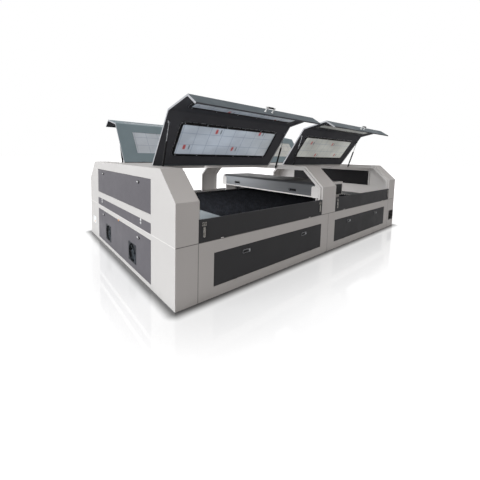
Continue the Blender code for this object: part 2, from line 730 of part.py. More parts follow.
def cross_member(x):
    """An inverted channel between the side beams."""
    half, low = CROSS_MEMBER_SIZE / 2, CROSS_MEMBER_TOP - CROSS_MEMBER_SIZE
    inner = half - BEAM_WALL
    loop = [(x - half, low), (x - inner, low), (x - inner, CROSS_MEMBER_TOP - BEAM_WALL),
            (x + inner, CROSS_MEMBER_TOP - BEAM_WALL), (x + inner, low), (x + half, low),
            (x + half, CROSS_MEMBER_TOP), (x - half, CROSS_MEMBER_TOP)]
    end = SIDE_BEAM_INSET + SIDE_BEAM_WIDTH - BEAM_WALL / 2
    return prism([loop], "Y", (y_at(-1, end), y_at(1, end)))


def make_tray(name, door):
    """A scrap tray on the runners behind a front door."""
    x = (door[0] + TRAY_SIDE_CLEARANCE, door[1] - TRAY_SIDE_CLEARANCE)
    y = (y_at(-1, TRAY_SETBACK), y_at(1, TRAY_SETBACK))
    bottom = DOOR_Z[0] + GAP
    t = TRAY_SHEET
    pan = box(x, y, (bottom, TRAY_TOP))
    hollow = box((x[0] + t, x[1] - t), (y[0] + t, y[1] - t), (bottom + t, TRAY_TOP + FAR))
    return finish(combine([pan], [hollow]), name, "dark_paint")


def make_door(name, door):
    """A folded drop-down door with two flush locks and the moving halves of its hinges."""
    axis_z = door_axis_z()
    edge = PANEL_CLEARANCE
    x = (door[0] + edge, door[1] - edge)
    z = (DOOR_Z[0] + edge, DOOR_Z[1] - edge)
    pan = box(x, (y_at(-1, 0.0), y_at(-1, PANEL_FOLD)), z)
    hollow = box((x[0] + PANEL_SHEET, x[1] - PANEL_SHEET), (y_at(-1, PANEL_SHEET), y_at(-1, FAR)),
                 (z[0] + PANEL_SHEET, z[1] - PANEL_SHEET))
    pan = combine([pan], [hollow])
    centre = sum(door) / 2
    extras = [box((centre + s * LOCK_FROM_CENTRE - LOCK_SIZE[0] / 2, centre + s * LOCK_FROM_CENTRE
                   + LOCK_SIZE[0] / 2), (y_at(-1, -LOCK_PROUD), y_at(-1, PANEL_SHEET / 2)),
                  (LOCK_Z - LOCK_SIZE[1] / 2, LOCK_Z + LOCK_SIZE[1] / 2)) for s in (-1, 1)]
    for station in hinge_stations(*door):
        extras += barrel_pair(station, -1, axis_z, moving=True)
    origin = (centre, y_at(-1, -HINGE_AXIS_OUT), axis_z)
    return finish(combine([pan, *extras]), name, "dark_paint", origin=origin)


def make_flap(name, side, bay, opened):
    """A folded loading flap between two arches, hinged at its foot, with a toggle latch at each end."""
    axis_z = flap_axis_z()
    edge = FLAP_CLEARANCE
    x = (bay[0] + edge, bay[1] - edge)
    z = (SEAM_Z + edge, FLAP_TOP)
    pan = box(x, (y_at(side, 0.0), y_at(side, FLAP_FOLD)), z)
    hollow = box((x[0] + PANEL_SHEET, x[1] - PANEL_SHEET), (y_at(side, PANEL_SHEET), y_at(side, FAR)),
                 (z[0] + PANEL_SHEET, z[1] - PANEL_SHEET))
    pan = combine([pan], [hollow])
    extras = []
    for x_latch in (bay[0] + LATCH_FROM_EDGE, bay[1] - LATCH_FROM_EDGE):
        half = LATCH_WIDTH / 2
        extras.append(box((x_latch - half, x_latch + half),
                          (y_at(side, -LATCH_PROUD), y_at(side, PANEL_SHEET / 2)), LATCH_Z))
        half = KEEPER_WIDTH / 2
        extras.append(box((x_latch - half, x_latch + half),
                          (y_at(side, -LATCH_PROUD / 2), y_at(side, PANEL_SHEET / 2)), KEEPER_Z))
    for station in hinge_stations(*bay):
        extras += barrel_pair(station, side, axis_z, moving=True)
    origin = (sum(bay) / 2, y_at(side, -HINGE_AXIS_OUT), axis_z)
    return finish(combine([pan, *extras]), name, "dark_paint", origin=origin, turn=opened)


def lid_half_profile(inset, hinge_depth, bottom):
    """Corners of a closed lid from its hinge edge to its lip, inset inwards, as depth and height."""
    return [(hinge_depth, HEIGHT - inset), crown(inset), shoulder(inset), (inset, bottom)]


def lid_hinge_edge():
    return LID_HINGE_SETBACK - LID_CLEARANCE


def slant_frame(side):
    """Origin, direction and outward normal of a closed lid's slanted face, in world y and z."""
    low, high = shoulder(0.0), crown(0.0)
    a = Vector((y_at(side, low[0]), low[1]))
    b = Vector((y_at(side, high[0]), high[1]))
    along = (b - a).normalized()
    normal = Vector((along.y, -along.x)) if side > 0 else Vector((-along.y, along.x))
    return a, b, along, normal


def slanted_block(x, side, along_span, out_span):
    """A block that lies square to the slanted face of a closed lid."""
    a, _, along, normal = slant_frame(side)
    (u_low, u_high), (v_low, v_high) = along_span, out_span
    places = ((u_low, v_low), (u_high, v_low), (u_high, v_high), (u_low, v_high))
    corners = [a + along * u + normal * v for u, v in places]
    return prism([[tuple(c) for c in corners]], "X", x)


def slant_window_span():
    a, b, _, _ = slant_frame(-1)
    centre = (b - a).length / 2
    return centre - SLANT_WINDOW_HEIGHT / 2, centre + SLANT_WINDOW_HEIGHT / 2


def lid_axis(side):
    return y_at(side, LID_HINGE_SETBACK), HEIGHT + LID_HINGE_RISE


def lid_turn(side):
    """Turn about X that opens a closed lid."""
    return side * LID_OPEN_ANGLE


def lid_hinge_half(x, side, moving):
    """Barrel and leaf of one lid hinge, on the lid or on the top panel."""
    start = x + GAP / 2 if moving else x - GAP / 2
    end = start + LID_HINGE_BARREL if moving else start - LID_HINGE_BARREL
    y_axis, z_axis = lid_axis(side)
    barrel = cylinder(((start + end) / 2, y_axis, z_axis), (1, 0, 0), LID_HINGE_RADIUS, LID_HINGE_BARREL,
                      SMALL_SIDES)
    reach = -LID_HINGE_LEAF if moving else LID_HINGE_LEAF
    span = (min(start, end) + HINGE_LEAF_SETBACK, max(start, end) - HINGE_LEAF_SETBACK)
    leaf = box(span, (y_axis, y_at(side, LID_HINGE_SETBACK + reach)),
               (HEIGHT - 0.001, HEIGHT + LID_HINGE_LEAF / 12))
    return [barrel, leaf]


def lid_hinge_stations(bay):
    centre = sum(bay) / 2
    return [centre + k * LID_HINGE_SPACING for k in (-1, 0, 1)]


def strut_stations(bay):
    """X of each strut's centre and the direction from there to the arch beside it."""
    return [(bay[0] + STRUT_FROM_BAY_EDGE, -1), (bay[1] - STRUT_FROM_BAY_EDGE, 1)]


def lid_stud(side):
    """Closed place of the strut's stud on the lid, in world y and z."""
    y_axis, z_axis = lid_axis(side)
    return y_axis + side * STRUT_LID_DISTANCE, z_axis - STRUT_LID_DROP


def turned(side, point, angle):
    """A point of the closed lid, in world y and z, after the lid is turned about its hinge."""
    y_axis, z_axis = lid_axis(side)
    y, z = point[0] - y_axis, point[1] - z_axis
    return (y_axis + y * math.cos(angle) - z * math.sin(angle),
            z_axis + y * math.sin(angle) + z * math.cos(angle))


def make_lid(name, side, bay):
    """A lid folded from one sheet, with flanges, window openings, handle, studs and hinge halves."""
    x = (bay[0] + LID_CLEARANCE, bay[1] - LID_CLEARANCE)
    edge = lid_hinge_edge()
    outer = lid_half_profile(0.0, edge, LID_BOTTOM)
    inner = lid_half_profile(LID_SHEET, edge - LID_SHEET, LID_BOTTOM + LID_SHEET)
    lip = [(LID_FLANGE * 0.8, LID_BOTTOM), (LID_FLANGE * 0.8, LID_BOTTOM + LID_SHEET)]
    back = [(edge - LID_SHEET, HEIGHT - LID_FLANGE), (edge, HEIGHT - LID_FLANGE)]
    loop = [(y_at(side, d), z) for d, z in (*outer, *lip, *inner[::-1], *back)]
    sheet = prism([loop], "X", x)
    deep = lid_half_profile(LID_FLANGE, edge, LID_BOTTOM)
    flange_loop = [(y_at(side, d), z) for d, z in (*outer, *deep[::-1])]
    flanges = [prism([flange_loop], "X", (x[0], x[0] + LID_SHEET)),
               prism([flange_loop], "X", (x[1] - LID_SHEET, x[1]))]
    window = (bay[0] + WINDOW_MARGIN_X, bay[1] - WINDOW_MARGIN_X)
    y_axis, _ = lid_axis(side)
    cuts = [box(window, (y_axis + side * WINDOW_FROM_HINGE[0], y_axis + side * WINDOW_FROM_HINGE[1]),
                (HEIGHT - FAR, HEIGHT + FAR)),
            slanted_block((bay[0] + SLANT_WINDOW_MARGIN_X, bay[1] - SLANT_WINDOW_MARGIN_X), side,
                          slant_window_span(), (-FAR, FAR))]
    solids = [sheet, *flanges, *lid_handle(side, sum(bay) / 2)]
    for station in lid_hinge_stations(bay):
        solids += lid_hinge_half(station, side, moving=True)
    for x_strut, outwards in strut_stations(bay):
        solids += strut_bracket_on_lid(side, x_strut, outwards)
    y_axis, z_axis = lid_axis(side)
    return finish(combine(solids, cuts), name, "slate_paint", origin=(sum(bay) / 2, y_axis, z_axis),
                  turn=lid_turn(side))


def lid_handle(side, x_centre):
    """A bow handle on the lid's upright lip: two posts and a grip."""
    half = HANDLE_POSTS / 2
    far = y_at(side, -HANDLE_REACH)
    near = y_at(side, LID_SHEET / 2)
    posts = [cylinder((x_centre + s * half, (far + near) / 2, HANDLE_Z), (0, 1, 0), HANDLE_RADIUS,
                      abs(far - near), SMALL_SIDES) for s in (-1, 1)]
    grip_length = HANDLE_POSTS + 4 * HANDLE_RADIUS
    grip = cylinder((x_centre, far, HANDLE_Z), (1, 0, 0), HANDLE_RADIUS * 1.1, grip_length, SMALL_SIDES)
    return [*posts, grip]


def strut_bracket_on_lid(side, x_strut, outwards):
    """Folded bracket under the lid that the rod's eye bears against."""
    y, z = lid_stud(side)
    near = x_strut + outwards * (STRUT_EYE_WIDTH / 2 + GAP)
    width = STRUT_BRACKET / 2
    top = HEIGHT - LID_SHEET
    plate = box((near, near + outwards * WALL), (y - width, y + width),
                (z - STRUT_EYE_RADIUS, top + WALL / 4))
    foot = box((near + outwards * WALL / 2, near + outwards * STRUT_BRACKET / 2), (y - width, y + width),
               (top - WALL / 2, top + WALL / 4))
    return [plate, foot]


def strut_geometry(side):
    """Lower pivot, direction to the upper pivot of the open lid, and open and closed lengths."""
    lower = Vector((y_at(side, STRUT_LOWER_DEPTH), STRUT_LOWER_Z))
    closed = Vector(lid_stud(side))
    opened = Vector(turned(side, lid_stud(side), lid_turn(side)))
    return lower, opened, (opened - lower).length, (closed - lower).length


def strut_place(side, x_strut):
    """Matrix that takes a strut drawn upwards along Z from the origin to its place at rest."""
    lower, opened, _, _ = strut_geometry(side)
    direction = (opened - lower).normalized()
    turn = math.atan2(-direction.x, direction.y)
    return Matrix.Translation((x_strut, lower.x, lower.y)) @ Matrix.Rotation(turn, 4, "X")


def eye(z, width=STRUT_EYE_WIDTH):
    """A ring about X at height z, with the pin hole through it."""
    ring = cylinder((0, 0, z), (1, 0, 0), STRUT_EYE_RADIUS, width, EYE_SIDES)
    bore = bore_radius(STRUT_PIN_RADIUS + PIN_CLEARANCE, EYE_SIDES)
    hole = cylinder((0, 0, z), (1, 0, 0), bore, width * 3, EYE_SIDES)
    return ring, hole


def make_strut(name, side, x_strut):
    """A gas strut: the cylinder on the arch and its rod on the lid."""
    _, _, length, _ = strut_geometry(side)
    place = strut_place(side, x_strut)
    ring, hole = eye(0.0)
    tube_length = STRUT_TUBE_END - STRUT_TUBE_START
    tube_centre = STRUT_TUBE_START + tube_length / 2
    tube = cylinder((0, 0, tube_centre), (0, 0, 1), STRUT_RADIUS, tube_length, EYE_SIDES)
    bore_length = STRUT_TUBE_END + FAR - STRUT_BORE_START
    bore_centre = STRUT_BORE_START + bore_length / 2
    bore = cylinder((0, 0, bore_centre), (0, 0, 1), ROD_RADIUS + ROD_CLEARANCE, bore_length, SMALL_SIDES)
    body = combine([tube, ring], [hole, bore])
    body.data.transform(place)
    origin = place.translation
    finish(body, f"strut_cylinder_{name}", "black_plastic", origin=origin, smooth=True)
    ring, hole = eye(length)
    rod_start = STRUT_TUBE_END - ROD_GUIDE
    rod_end = length - STRUT_PIN_RADIUS - 0.002
    rod = cylinder((0, 0, (rod_start + rod_end) / 2), (0, 0, 1), ROD_RADIUS, rod_end - rod_start, SMALL_SIDES)
    body = combine([ring, rod], [hole])
    body.data.transform(place)
    finish(body, f"strut_rod_{name}", "steel", origin=origin, smooth=True)


def strut_stud_on_arch(side, x_strut, outwards):
    """Stud on the inner lip of an arch that the strut's cylinder turns on."""
    lower, _, _, _ = strut_geometry(side)
    tip = x_strut - outwards * STRUT_EYE_WIDTH / 2
    root = x_strut + outwards * (STRUT_FROM_BAY_EDGE - REBATE_WIDTH + WALL / 2)
    centre = ((tip + root) / 2, lower.x, lower.y)
    return cylinder(centre, (1, 0, 0), STRUT_PIN_RADIUS, abs(root - tip), EYE_SIDES)


def make_window(name, side, bay):
    """The large pane under a lid's flat face."""
    y_axis, z_axis = lid_axis(side)
    x = (bay[0] + WINDOW_MARGIN_X - PANE_OVERLAP, bay[1] - WINDOW_MARGIN_X + PANE_OVERLAP)
    y = (y_axis + side * (WINDOW_FROM_HINGE[0] - PANE_OVERLAP),
         y_axis + side * (WINDOW_FROM_HINGE[1] + PANE_OVERLAP))
    top = HEIGHT - LID_SHEET - GAP
    pane = box(x, y, (top - PANE_THICKNESS, top))
    return finish(pane, name, "window_film", origin=(sum(bay) / 2, y_axis, z_axis), turn=lid_turn(side))


def make_slant_window(name, side, bay):
    """The narrow pane under a lid's slanted face."""
    y_axis, z_axis = lid_axis(side)
    low, high = slant_window_span()
    x = (bay[0] + SLANT_WINDOW_MARGIN_X - PANE_OVERLAP, bay[1] - SLANT_WINDOW_MARGIN_X + PANE_OVERLAP)
    top = -LID_SHEET - GAP
    pane = slanted_block(x, side, (low - PANE_OVERLAP, high + PANE_OVERLAP), (top - PANE_THICKNESS, top))
    return finish(pane, name, "window_film", origin=(sum(bay) / 2, y_axis, z_axis), turn=lid_turn(side))


def make_top_panel(name, bay):
    """The fixed top between a pair of lids, which rests on the arches' rebates."""
    x = (bay[0] + LID_CLEARANCE, bay[1] - LID_CLEARANCE)
    inner = (bay[0] + REBATE_WIDTH + LID_CLEARANCE, bay[1] - REBATE_WIDTH - LID_CLEARANCE)
    inset = LID_HINGE_SETBACK + LID_CLEARANCE
    y = (y_at(-1, inset), y_at(1, inset))
    shallow = HEIGHT - REBATE_DEPTH + GAP
    solids = [box(x, y, (HEIGHT - LID_SHEET, HEIGHT))]
    solids += [box(x, (edge, edge + s * LID_SHEET), (shallow, HEIGHT)) for edge, s in ((y[0], 1), (y[1], -1))]
    solids += [box(inner, (edge, edge + s * LID_SHEET), (HEIGHT - TOP_PANEL_EDGE, HEIGHT))
               for edge, s in ((y[0], 1), (y[1], -1))]
    solids += [box((edge, edge + s * LID_SHEET), y, (shallow, HEIGHT)) for edge, s in ((x[0], 1), (x[1], -1))]
    for index in range(TOP_RIB_COUNT):
        centre = x[0] + (x[1] - x[0]) * (index + 1) / (TOP_RIB_COUNT + 1)
        solids.append(cross_rib(centre, y))
    for side in (-1, 1):
        for station in lid_hinge_stations(bay):
            solids += lid_hinge_half(station, side, moving=False)
    return finish(combine(solids), name, "cream_paint")


def cross_rib(x, y):
    """A stiffening channel under a top panel, open at the bottom."""
    half = TOP_RIB_WIDTH / 2
    low, high = HEIGHT - TOP_PANEL_EDGE * 0.8, HEIGHT - LID_SHEET / 2
    loop = [(x - half, low), (x - half + LID_SHEET, low), (x - half + LID_SHEET, high - LID_SHEET),
            (x + half - LID_SHEET, high - LID_SHEET), (x + half - LID_SHEET, low), (x + half, low),
            (x + half, high), (x - half, high)]
    return prism([loop], "Y", (y[0] + LID_SHEET / 2, y[1] - LID_SHEET / 2))


def make_slat_bed():
    """The cutting bed: serrated slats across a frame of flat bars."""
    x = (X_BED + GAP, X_BED_END - GAP)
    y = (y_at(-1, BED_INSET), y_at(1, BED_INSET))
    low = BED_LEDGE_Z + GAP
    solids = [box(x, (edge, edge + s * BED_BAR), (low, BED_BAR_TOP)) for edge, s in ((y[0], 1), (y[1], -1))]
    solids += [box((edge, edge + s * BED_BAR), y, (low, BED_BAR_TOP)) for edge, s in ((x[0], 1), (x[1], -1))]
    count = int((x[1] - x[0]) / SLAT_PITCH)
    start = (x[0] + x[1] - (count - 1) * SLAT_PITCH) / 2
    solids += [slat(start + index * SLAT_PITCH, y) for index in range(count)]
    return finish(combine(solids), "slat_bed", "bed_black")


def slat(x, y):
    """One serrated slat, from bar to bar."""
    near, far = y[0] + BED_BAR / 2, y[1] - BED_BAR / 2
    pitch = (far - near) / SLAT_TEETH
    foot, valley = SLAT_Z[0], SLAT_Z[1] - SLAT_TOOTH_DEPTH
    top = []
    for index in range(SLAT_TEETH):
        top += [(near + pitch * (index + 0.1), SLAT_Z[1]), (near + pitch * (index + 0.9), valley)]
    loop = [(near, foot), (near, valley), *top, (far, valley), (far, foot)]
    return prism([loop], "X", (x - SLAT_SHEET / 2, x + SLAT_SHEET / 2))


def tooth_half_widths():
    """Half the rack tooth at its tip and at its root, with the backlash taken off."""
    slope = math.tan(PRESSURE_ANGLE)
    half = math.pi * MODULE / 4 - TOOTH_BACKLASH / 2
    return half - MODULE * slope, half + 1.25 * MODULE * slope


def shaft_x():
    return X_LEFT + GANTRY_X + COVER_WIDTH / 2 - 0.015


def rack_outline():
    """Side view of the rack: one tooth each pitch, placed so that a gap meets the pinion at rest."""
    pitch = math.pi * MODULE
    tip, root = tooth_half_widths()
    top, bottom = PITCH_LINE_Z + MODULE, PITCH_LINE_Z - 1.25 * MODULE
    low, high = X_LEFT + RACK_START, X_RIGHT - RACK_FROM_RIGHT
    first = math.ceil((low - shaft_x()) / pitch - 0.5) + 0.5
    last = math.floor((high - shaft_x()) / pitch - 0.5) + 0.5
    teeth = []
    place = first
    while place <= last:
        centre = shaft_x() + place * pitch
        if centre - root > low and centre + root < high:
            teeth += [(centre - root, bottom), (centre - tip, top),
                      (centre + tip, top), (centre + root, bottom)]
        place += 1
    base = SIDE_BEAM_Z[1] + GAP + SEAT_BAR_HEIGHT / 2
    return [(low, base), (low, bottom), *teeth, (high, bottom), (high, base)]


def make_guide_rail(name, side):
    """A machined seat bar with the waisted guide rail and the toothed rack on it."""
    low = SIDE_BEAM_Z[1] + GAP
    seat_top = low + SEAT_BAR_HEIGHT
    x = (X_LEFT + RAIL_START, X_RIGHT - RAIL_FROM_RIGHT)
    seat = box(x, (y_at(side, RAIL_INSET - 0.004), y_at(side, RACK_INSET + RACK_WIDTH)), (low, seat_top))
    near, far = RAIL_INSET, RAIL_INSET + RAIL_WIDTH
    top, waist = seat_top + RAIL_HEIGHT, RAIL_WAIST
    half = [(near, seat_top - 0.001), (near, seat_top + RAIL_HEIGHT * 0.25),
            (near + waist, seat_top + RAIL_HEIGHT * 0.45), (near + waist, seat_top + RAIL_HEIGHT * 0.6),
            (near, seat_top + RAIL_HEIGHT * 0.8), (near, top)]
    other = [(near + far - d, z) for d, z in reversed(half)]
    rail = prism([[(y_at(side, d), z) for d, z in (*half, *other)]], "X", x)
    rack = prism([rack_outline()], "Y", (y_at(side, RACK_INSET), y_at(side, RACK_INSET + RACK_WIDTH)))
    return finish(combine([seat, rail, rack]), name, "steel")


def pinion_outline():
    """Straight-flanked gear outline about the origin, with a tooth pointing down."""
    radius = MODULE * PINION_TEETH / 2
    half = math.pi * MODULE / 4 - TOOTH_BACKLASH / 2
    sections = ((radius - 1.2 * MODULE, half * 1.05), (radius, half * 0.95),
                (radius + 0.92 * MODULE, half * 0.42))
    loop = []
    for index in range(PINION_TEETH):
        middle = -math.pi / 2 + index * math.tau / PINION_TEETH
        flank = [(r, w / r) for r, w in sections]
        loop += [(r * math.cos(middle - a), r * math.sin(middle - a)) for r, a in flank]
        loop += [(r * math.cos(middle + a), r * math.sin(middle + a)) for r, a in reversed(flank)]
    return loop


def make_drive_shaft():
    """The cross shaft with a pinion keyed on near each end."""
    x, z = shaft_x(), PITCH_LINE_Z + MODULE * PINION_TEETH / 2
    loop = [(x + u, z + v) for u, v in pinion_outline()]
    end = END_PLATE_INSET - 0.008
    span = y_at(1, end) - y_at(-1, end)
    shaft = cylinder((x, CENTRE_Y, z), (0, 1, 0), SHAFT_RADIUS, span, ROUND_SIDES)
    pinions = [prism([loop], "Y", (y_at(s, RACK_INSET + 0.001), y_at(s, RACK_INSET + RACK_WIDTH - 0.001)))
               for s in (-1, 1)]
    return finish(combine([shaft, *pinions]), "drive_shaft", "steel", origin=(x, CENTRE_Y, z), smooth=True)


def gantry_beam_x():
    right = X_LEFT + GANTRY_X + COVER_WIDTH - 0.010
    return right - GANTRY_BEAM_WIDTH, right


def make_gantry_beam():
    """The moving bridge: box beam, end plates, foot plates, slider blocks and carriage rails."""
    low_x, high_x = gantry_beam_x()
    top = COVER_Z[1] - COVER_SHEET - GAP
    wall = GANTRY_BEAM_WALL
    left = X_LEFT + GANTRY_X + COVER_CHAMFER + 2 * COVER_SHEET
    shaft_z = PITCH_LINE_Z + MODULE * PINION_TEETH / 2
    foot_z = SIDE_BEAM_Z[1] + GAP + SEAT_BAR_HEIGHT + RAIL_HEIGHT + 0.015
    beam_loop = [rectangle(low_x, high_x, GANTRY_BEAM_BOTTOM, top),
                 rectangle(low_x + wall, high_x - wall, GANTRY_BEAM_BOTTOM + wall, top - wall)]
    solids = [prism(beam_loop, "Y", (y_at(-1, END_PLATE_INSET), y_at(1, END_PLATE_INSET)))]
    cuts = []
    for side in (-1, 1):
        plate = (y_at(side, END_PLATE_INSET), y_at(side, END_PLATE_INSET + END_PLATE))
        solids.append(prism([rectangle(left, high_x, foot_z, top)], "Y", plate))
        solids.append(box((left, high_x), (y_at(side, FOOT_INSET), y_at(side, FOOT_INSET + FOOT_WIDTH)),
                          (foot_z, foot_z + FOOT_PLATE)))
        for s in (-1, 1):
            solids += slider(side, shaft_x() + s * SLIDER_FROM_CENTRE, foot_z)
        cuts.append(cylinder((shaft_x(), y_at(side, END_PLATE_INSET), shaft_z), (0, 1, 0),
                             bore_radius(SHAFT_RADIUS + SHAFT_CLEARANCE, ROUND_SIDES), FAR, ROUND_SIDES))
        cuts.append(box((low_x + 2 * wall, high_x - 2 * wall), (y_at(side, END_PLATE_INSET - FAR),
                        y_at(side, END_PLATE_INSET + FAR)), (GANTRY_BEAM_BOTTOM + 2 * wall, top - 2 * wall)))
    for z in BEAM_RAIL_Z:
        solids.append(box((high_x - wall / 2, high_x + BEAM_RAIL), (y_at(-1, END_PLATE_INSET + END_PLATE),
                          y_at(1, END_PLATE_INSET + END_PLATE)), (z - BEAM_RAIL / 2, z + BEAM_RAIL / 2)))
    solids.append(motor_shelf())
    cuts.append(cylinder((shaft_x(), motor_centre_y(), MOTOR_SHELF_Z), (0, 0, 1), MOTOR_RADIUS + 0.001, FAR,
                         ROUND_SIDES))
    return finish(combine(solids, cuts), "gantry_beam", "cream_paint")


def slider(side, x, foot_z):
    """A block under the foot plate that straddles the guide rail."""
    near = RAIL_INSET + RAIL_WIDTH / 2 - SLIDER_WIDTH / 2
    inner = RAIL_INSET - SLIDER_CLEARANCE
    rail_top = SIDE_BEAM_Z[1] + GAP + SEAT_BAR_HEIGHT + RAIL_HEIGHT
    low = SIDE_BEAM_Z[1] + GAP + SEAT_BAR_HEIGHT + 0.003
    span = (x - SLIDER_LENGTH / 2, x + SLIDER_LENGTH / 2)
    top = foot_z + 0.001
    far = near + SLIDER_WIDTH
    leg = inner - near
    return [box(span, (y_at(side, near), y_at(side, far)), (rail_top + GAP, top)),
            box(span, (y_at(side, near), y_at(side, near + leg)), (low, top)),
            box(span, (y_at(side, far), y_at(side, far - leg)), (low, top))]


def motor_centre_y():
    return y_at(-1, MOTOR_INSET + MOTOR_BLOCK[1] / 2)


def motor_shelf():
    """Plate inside the cover that the drive motor hangs from."""
    half = MOTOR_BLOCK[0] / 2 + 0.005
    return box((shaft_x() - half, shaft_x() + half), (y_at(-1, END_PLATE_INSET + END_PLATE / 2),
               y_at(-1, MOTOR_INSET + MOTOR_BLOCK[1] + 0.005)), (MOTOR_SHELF_Z, MOTOR_SHELF_Z + MOTOR_SHELF))


def make_drive_motor():
    """Hollow-shaft gear block round the cross shaft, with the motor standing on it."""
    x, y = shaft_x(), motor_centre_y()
    half_x, half_y = MOTOR_BLOCK[0] / 2, MOTOR_BLOCK[1] / 2
    top = MOTOR_SHELF_Z - GAP
    block = box((x - half_x, x + half_x), (y - half_y, y + half_y), (MOTOR_BLOCK_BOTTOM, top))
    can = cylinder((x, y, (top + MOTOR_TOP) / 2), (0, 0, 1), MOTOR_RADIUS, MOTOR_TOP - top + 2 * MOTOR_SHELF,
                   ROUND_SIDES)
    bore = cylinder((x, y, PITCH_LINE_Z + MODULE * PINION_TEETH / 2), (0, 1, 0),
                    bore_radius(SHAFT_RADIUS + SHAFT_CLEARANCE, ROUND_SIDES), 4 * half_y, ROUND_SIDES)
    return finish(combine([block, can], [bore]), "drive_motor", "black_plastic")


def make_gantry_cover():
    """Folded cover over the bridge, open below and towards the cutting head."""
    left = X_LEFT + GANTRY_X
    right = left + COVER_WIDTH
    low, high = COVER_Z
    t, c = COVER_SHEET, COVER_CHAMFER
    loop = [(left, low), (left + COVER_LIP, low), (left + COVER_LIP, low + t), (left + t, low + t),
            (left + t, high - c - t / 2), (left + c + t / 2, high - t), (right, high - t), (right, high),
            (left + c, high), (left, high - c)]
    end_loop = [(left, low), (right - GANTRY_BEAM_WIDTH / 2, low), (right, low + GANTRY_BEAM_WIDTH / 2),
                (right, high), (left + c, high), (left, high - c)]
    solids = [prism([loop], "Y", (y_at(-1, COVER_INSET), y_at(1, COVER_INSET)))]
    cuts = []
    for side in (-1, 1):
        solids.append(prism([end_loop], "Y", (y_at(side, COVER_INSET), y_at(side, COVER_INSET + t))))
        solids.append(box((left + 0.05, right - 0.12), (y_at(side, COVER_INSET - TRIM_PROUD),
                          y_at(side, COVER_INSET + t / 2)), COVER_END_PANEL_Z))
        half_w, half_h = COVER_SLOT[0] / 2, COVER_SLOT[1] / 2
        y = CENTRE_Y + side * COVER_SLOT_FROM_CENTRE
        cuts.append(box((left - FAR, left + 2 * t), (y - half_w, y + half_w), (COVER_SLOT_Z - half_h,
                        COVER_SLOT_Z + half_h)))
    return finish(combine(solids, cuts), "gantry_cover", "light_paint")


def carriage_plate_x():
    return gantry_beam_x()[1] + BEAM_RAIL + 0.008


def make_head_carriage():
    """Plate with two pairs of blocks on the bridge's rails, which carries the cutting head."""
    plate = carriage_plate_x()
    half = CARRIAGE_WIDTH / 2
    solids = [box((plate, plate + CARRIAGE_PLATE), (CENTRE_Y - half, CENTRE_Y + half), CARRIAGE_Z)]
    beam_face = gantry_beam_x()[1]
    rail_half = BEAM_RAIL / 2
    for z in BEAM_RAIL_Z:
        for s in (-1, 1):
            near = s * (rail_half + SLIDER_CLEARANCE)
            solids.append(box((beam_face + 0.004, plate + 0.001), (CENTRE_Y - half, CENTRE_Y + half),
                              (z + near, z + near + s * 0.012)))
        solids.append(box((beam_face + BEAM_RAIL + SLIDER_CLEARANCE, plate + 0.001),
                          (CENTRE_Y - half, CENTRE_Y + half), (z - rail_half - 0.002, z + rail_half + 0.002)))
    guide = [box((plate + CARRIAGE_PLATE / 2, plate + CARRIAGE_PLATE + 0.012),
                 (CENTRE_Y + s * 0.050, CENTRE_Y + s * 0.062), CARRIAGE_Z) for s in (-1, 1)]
    return finish(combine([*solids, *guide]), "head_carriage", "dark_paint")


def make_cutting_head():
    """Square head body with its lower barrel, cone and nozzle."""
    near = carriage_plate_x() + CARRIAGE_PLATE + GAP
    x = near + HEAD_SIZE / 2
    half = HEAD_SIZE / 2
    body = box((near, near + HEAD_SIZE), (CENTRE_Y - half, CENTRE_Y + half), HEAD_Z)
    barrel = cylinder((x, CENTRE_Y, HEAD_Z[0] - 0.006), (0, 0, 1), half * 0.75, 0.024, ROUND_SIDES)
    cone_top = HEAD_Z[0] - 0.017
    cone = cylinder((x, CENTRE_Y, (cone_top + NOZZLE_TIP_Z) / 2), (0, 0, -1), half * 0.6,
                    cone_top - NOZZLE_TIP_Z, ROUND_SIDES, NOZZLE_RADIUS)
    cap = cylinder((x, CENTRE_Y, HEAD_Z[1] + 0.014), (0, 0, 1), half * 0.5, 0.030, ROUND_SIDES)
    guides = [box((near, near + 0.014), (CENTRE_Y + s * half * 0.9, CENTRE_Y + s * (0.050 - GAP)), HEAD_Z)
              for s in (-1, 1)]
    return finish(combine([body, barrel, cone, cap, *guides]), "cutting_head", "steel")


def make_studs_into(arch_solids, bays):
    """Adds the lower strut studs to an arch's solids for the bays beside it."""
    for bay, outwards in bays:
        for side in (-1, 1):
            for x_strut, direction in strut_stations(bay):
                if direction == outwards:
                    arch_solids.append(strut_stud_on_arch(side, x_strut, outwards))
    return arch_solids


def add_studs(arch, bays):
    """Joins the lower strut studs to a finished arch."""
    name, material = arch.name, arch.data.materials[0]
    arch.name = "arch_without_studs"
    PARTS.objects.unlink(arch)
    bpy.context.scene.collection.objects.link(arch)
    bpy.context.view_layer.update()
    item = combine(make_studs_into([arch], bays))
    item.name = name
    item.data.name = name
    item.data.materials.clear()
    item.data.materials.append(material)
    bpy.context.scene.collection.objects.unlink(item)
    PARTS.objects.link(item)


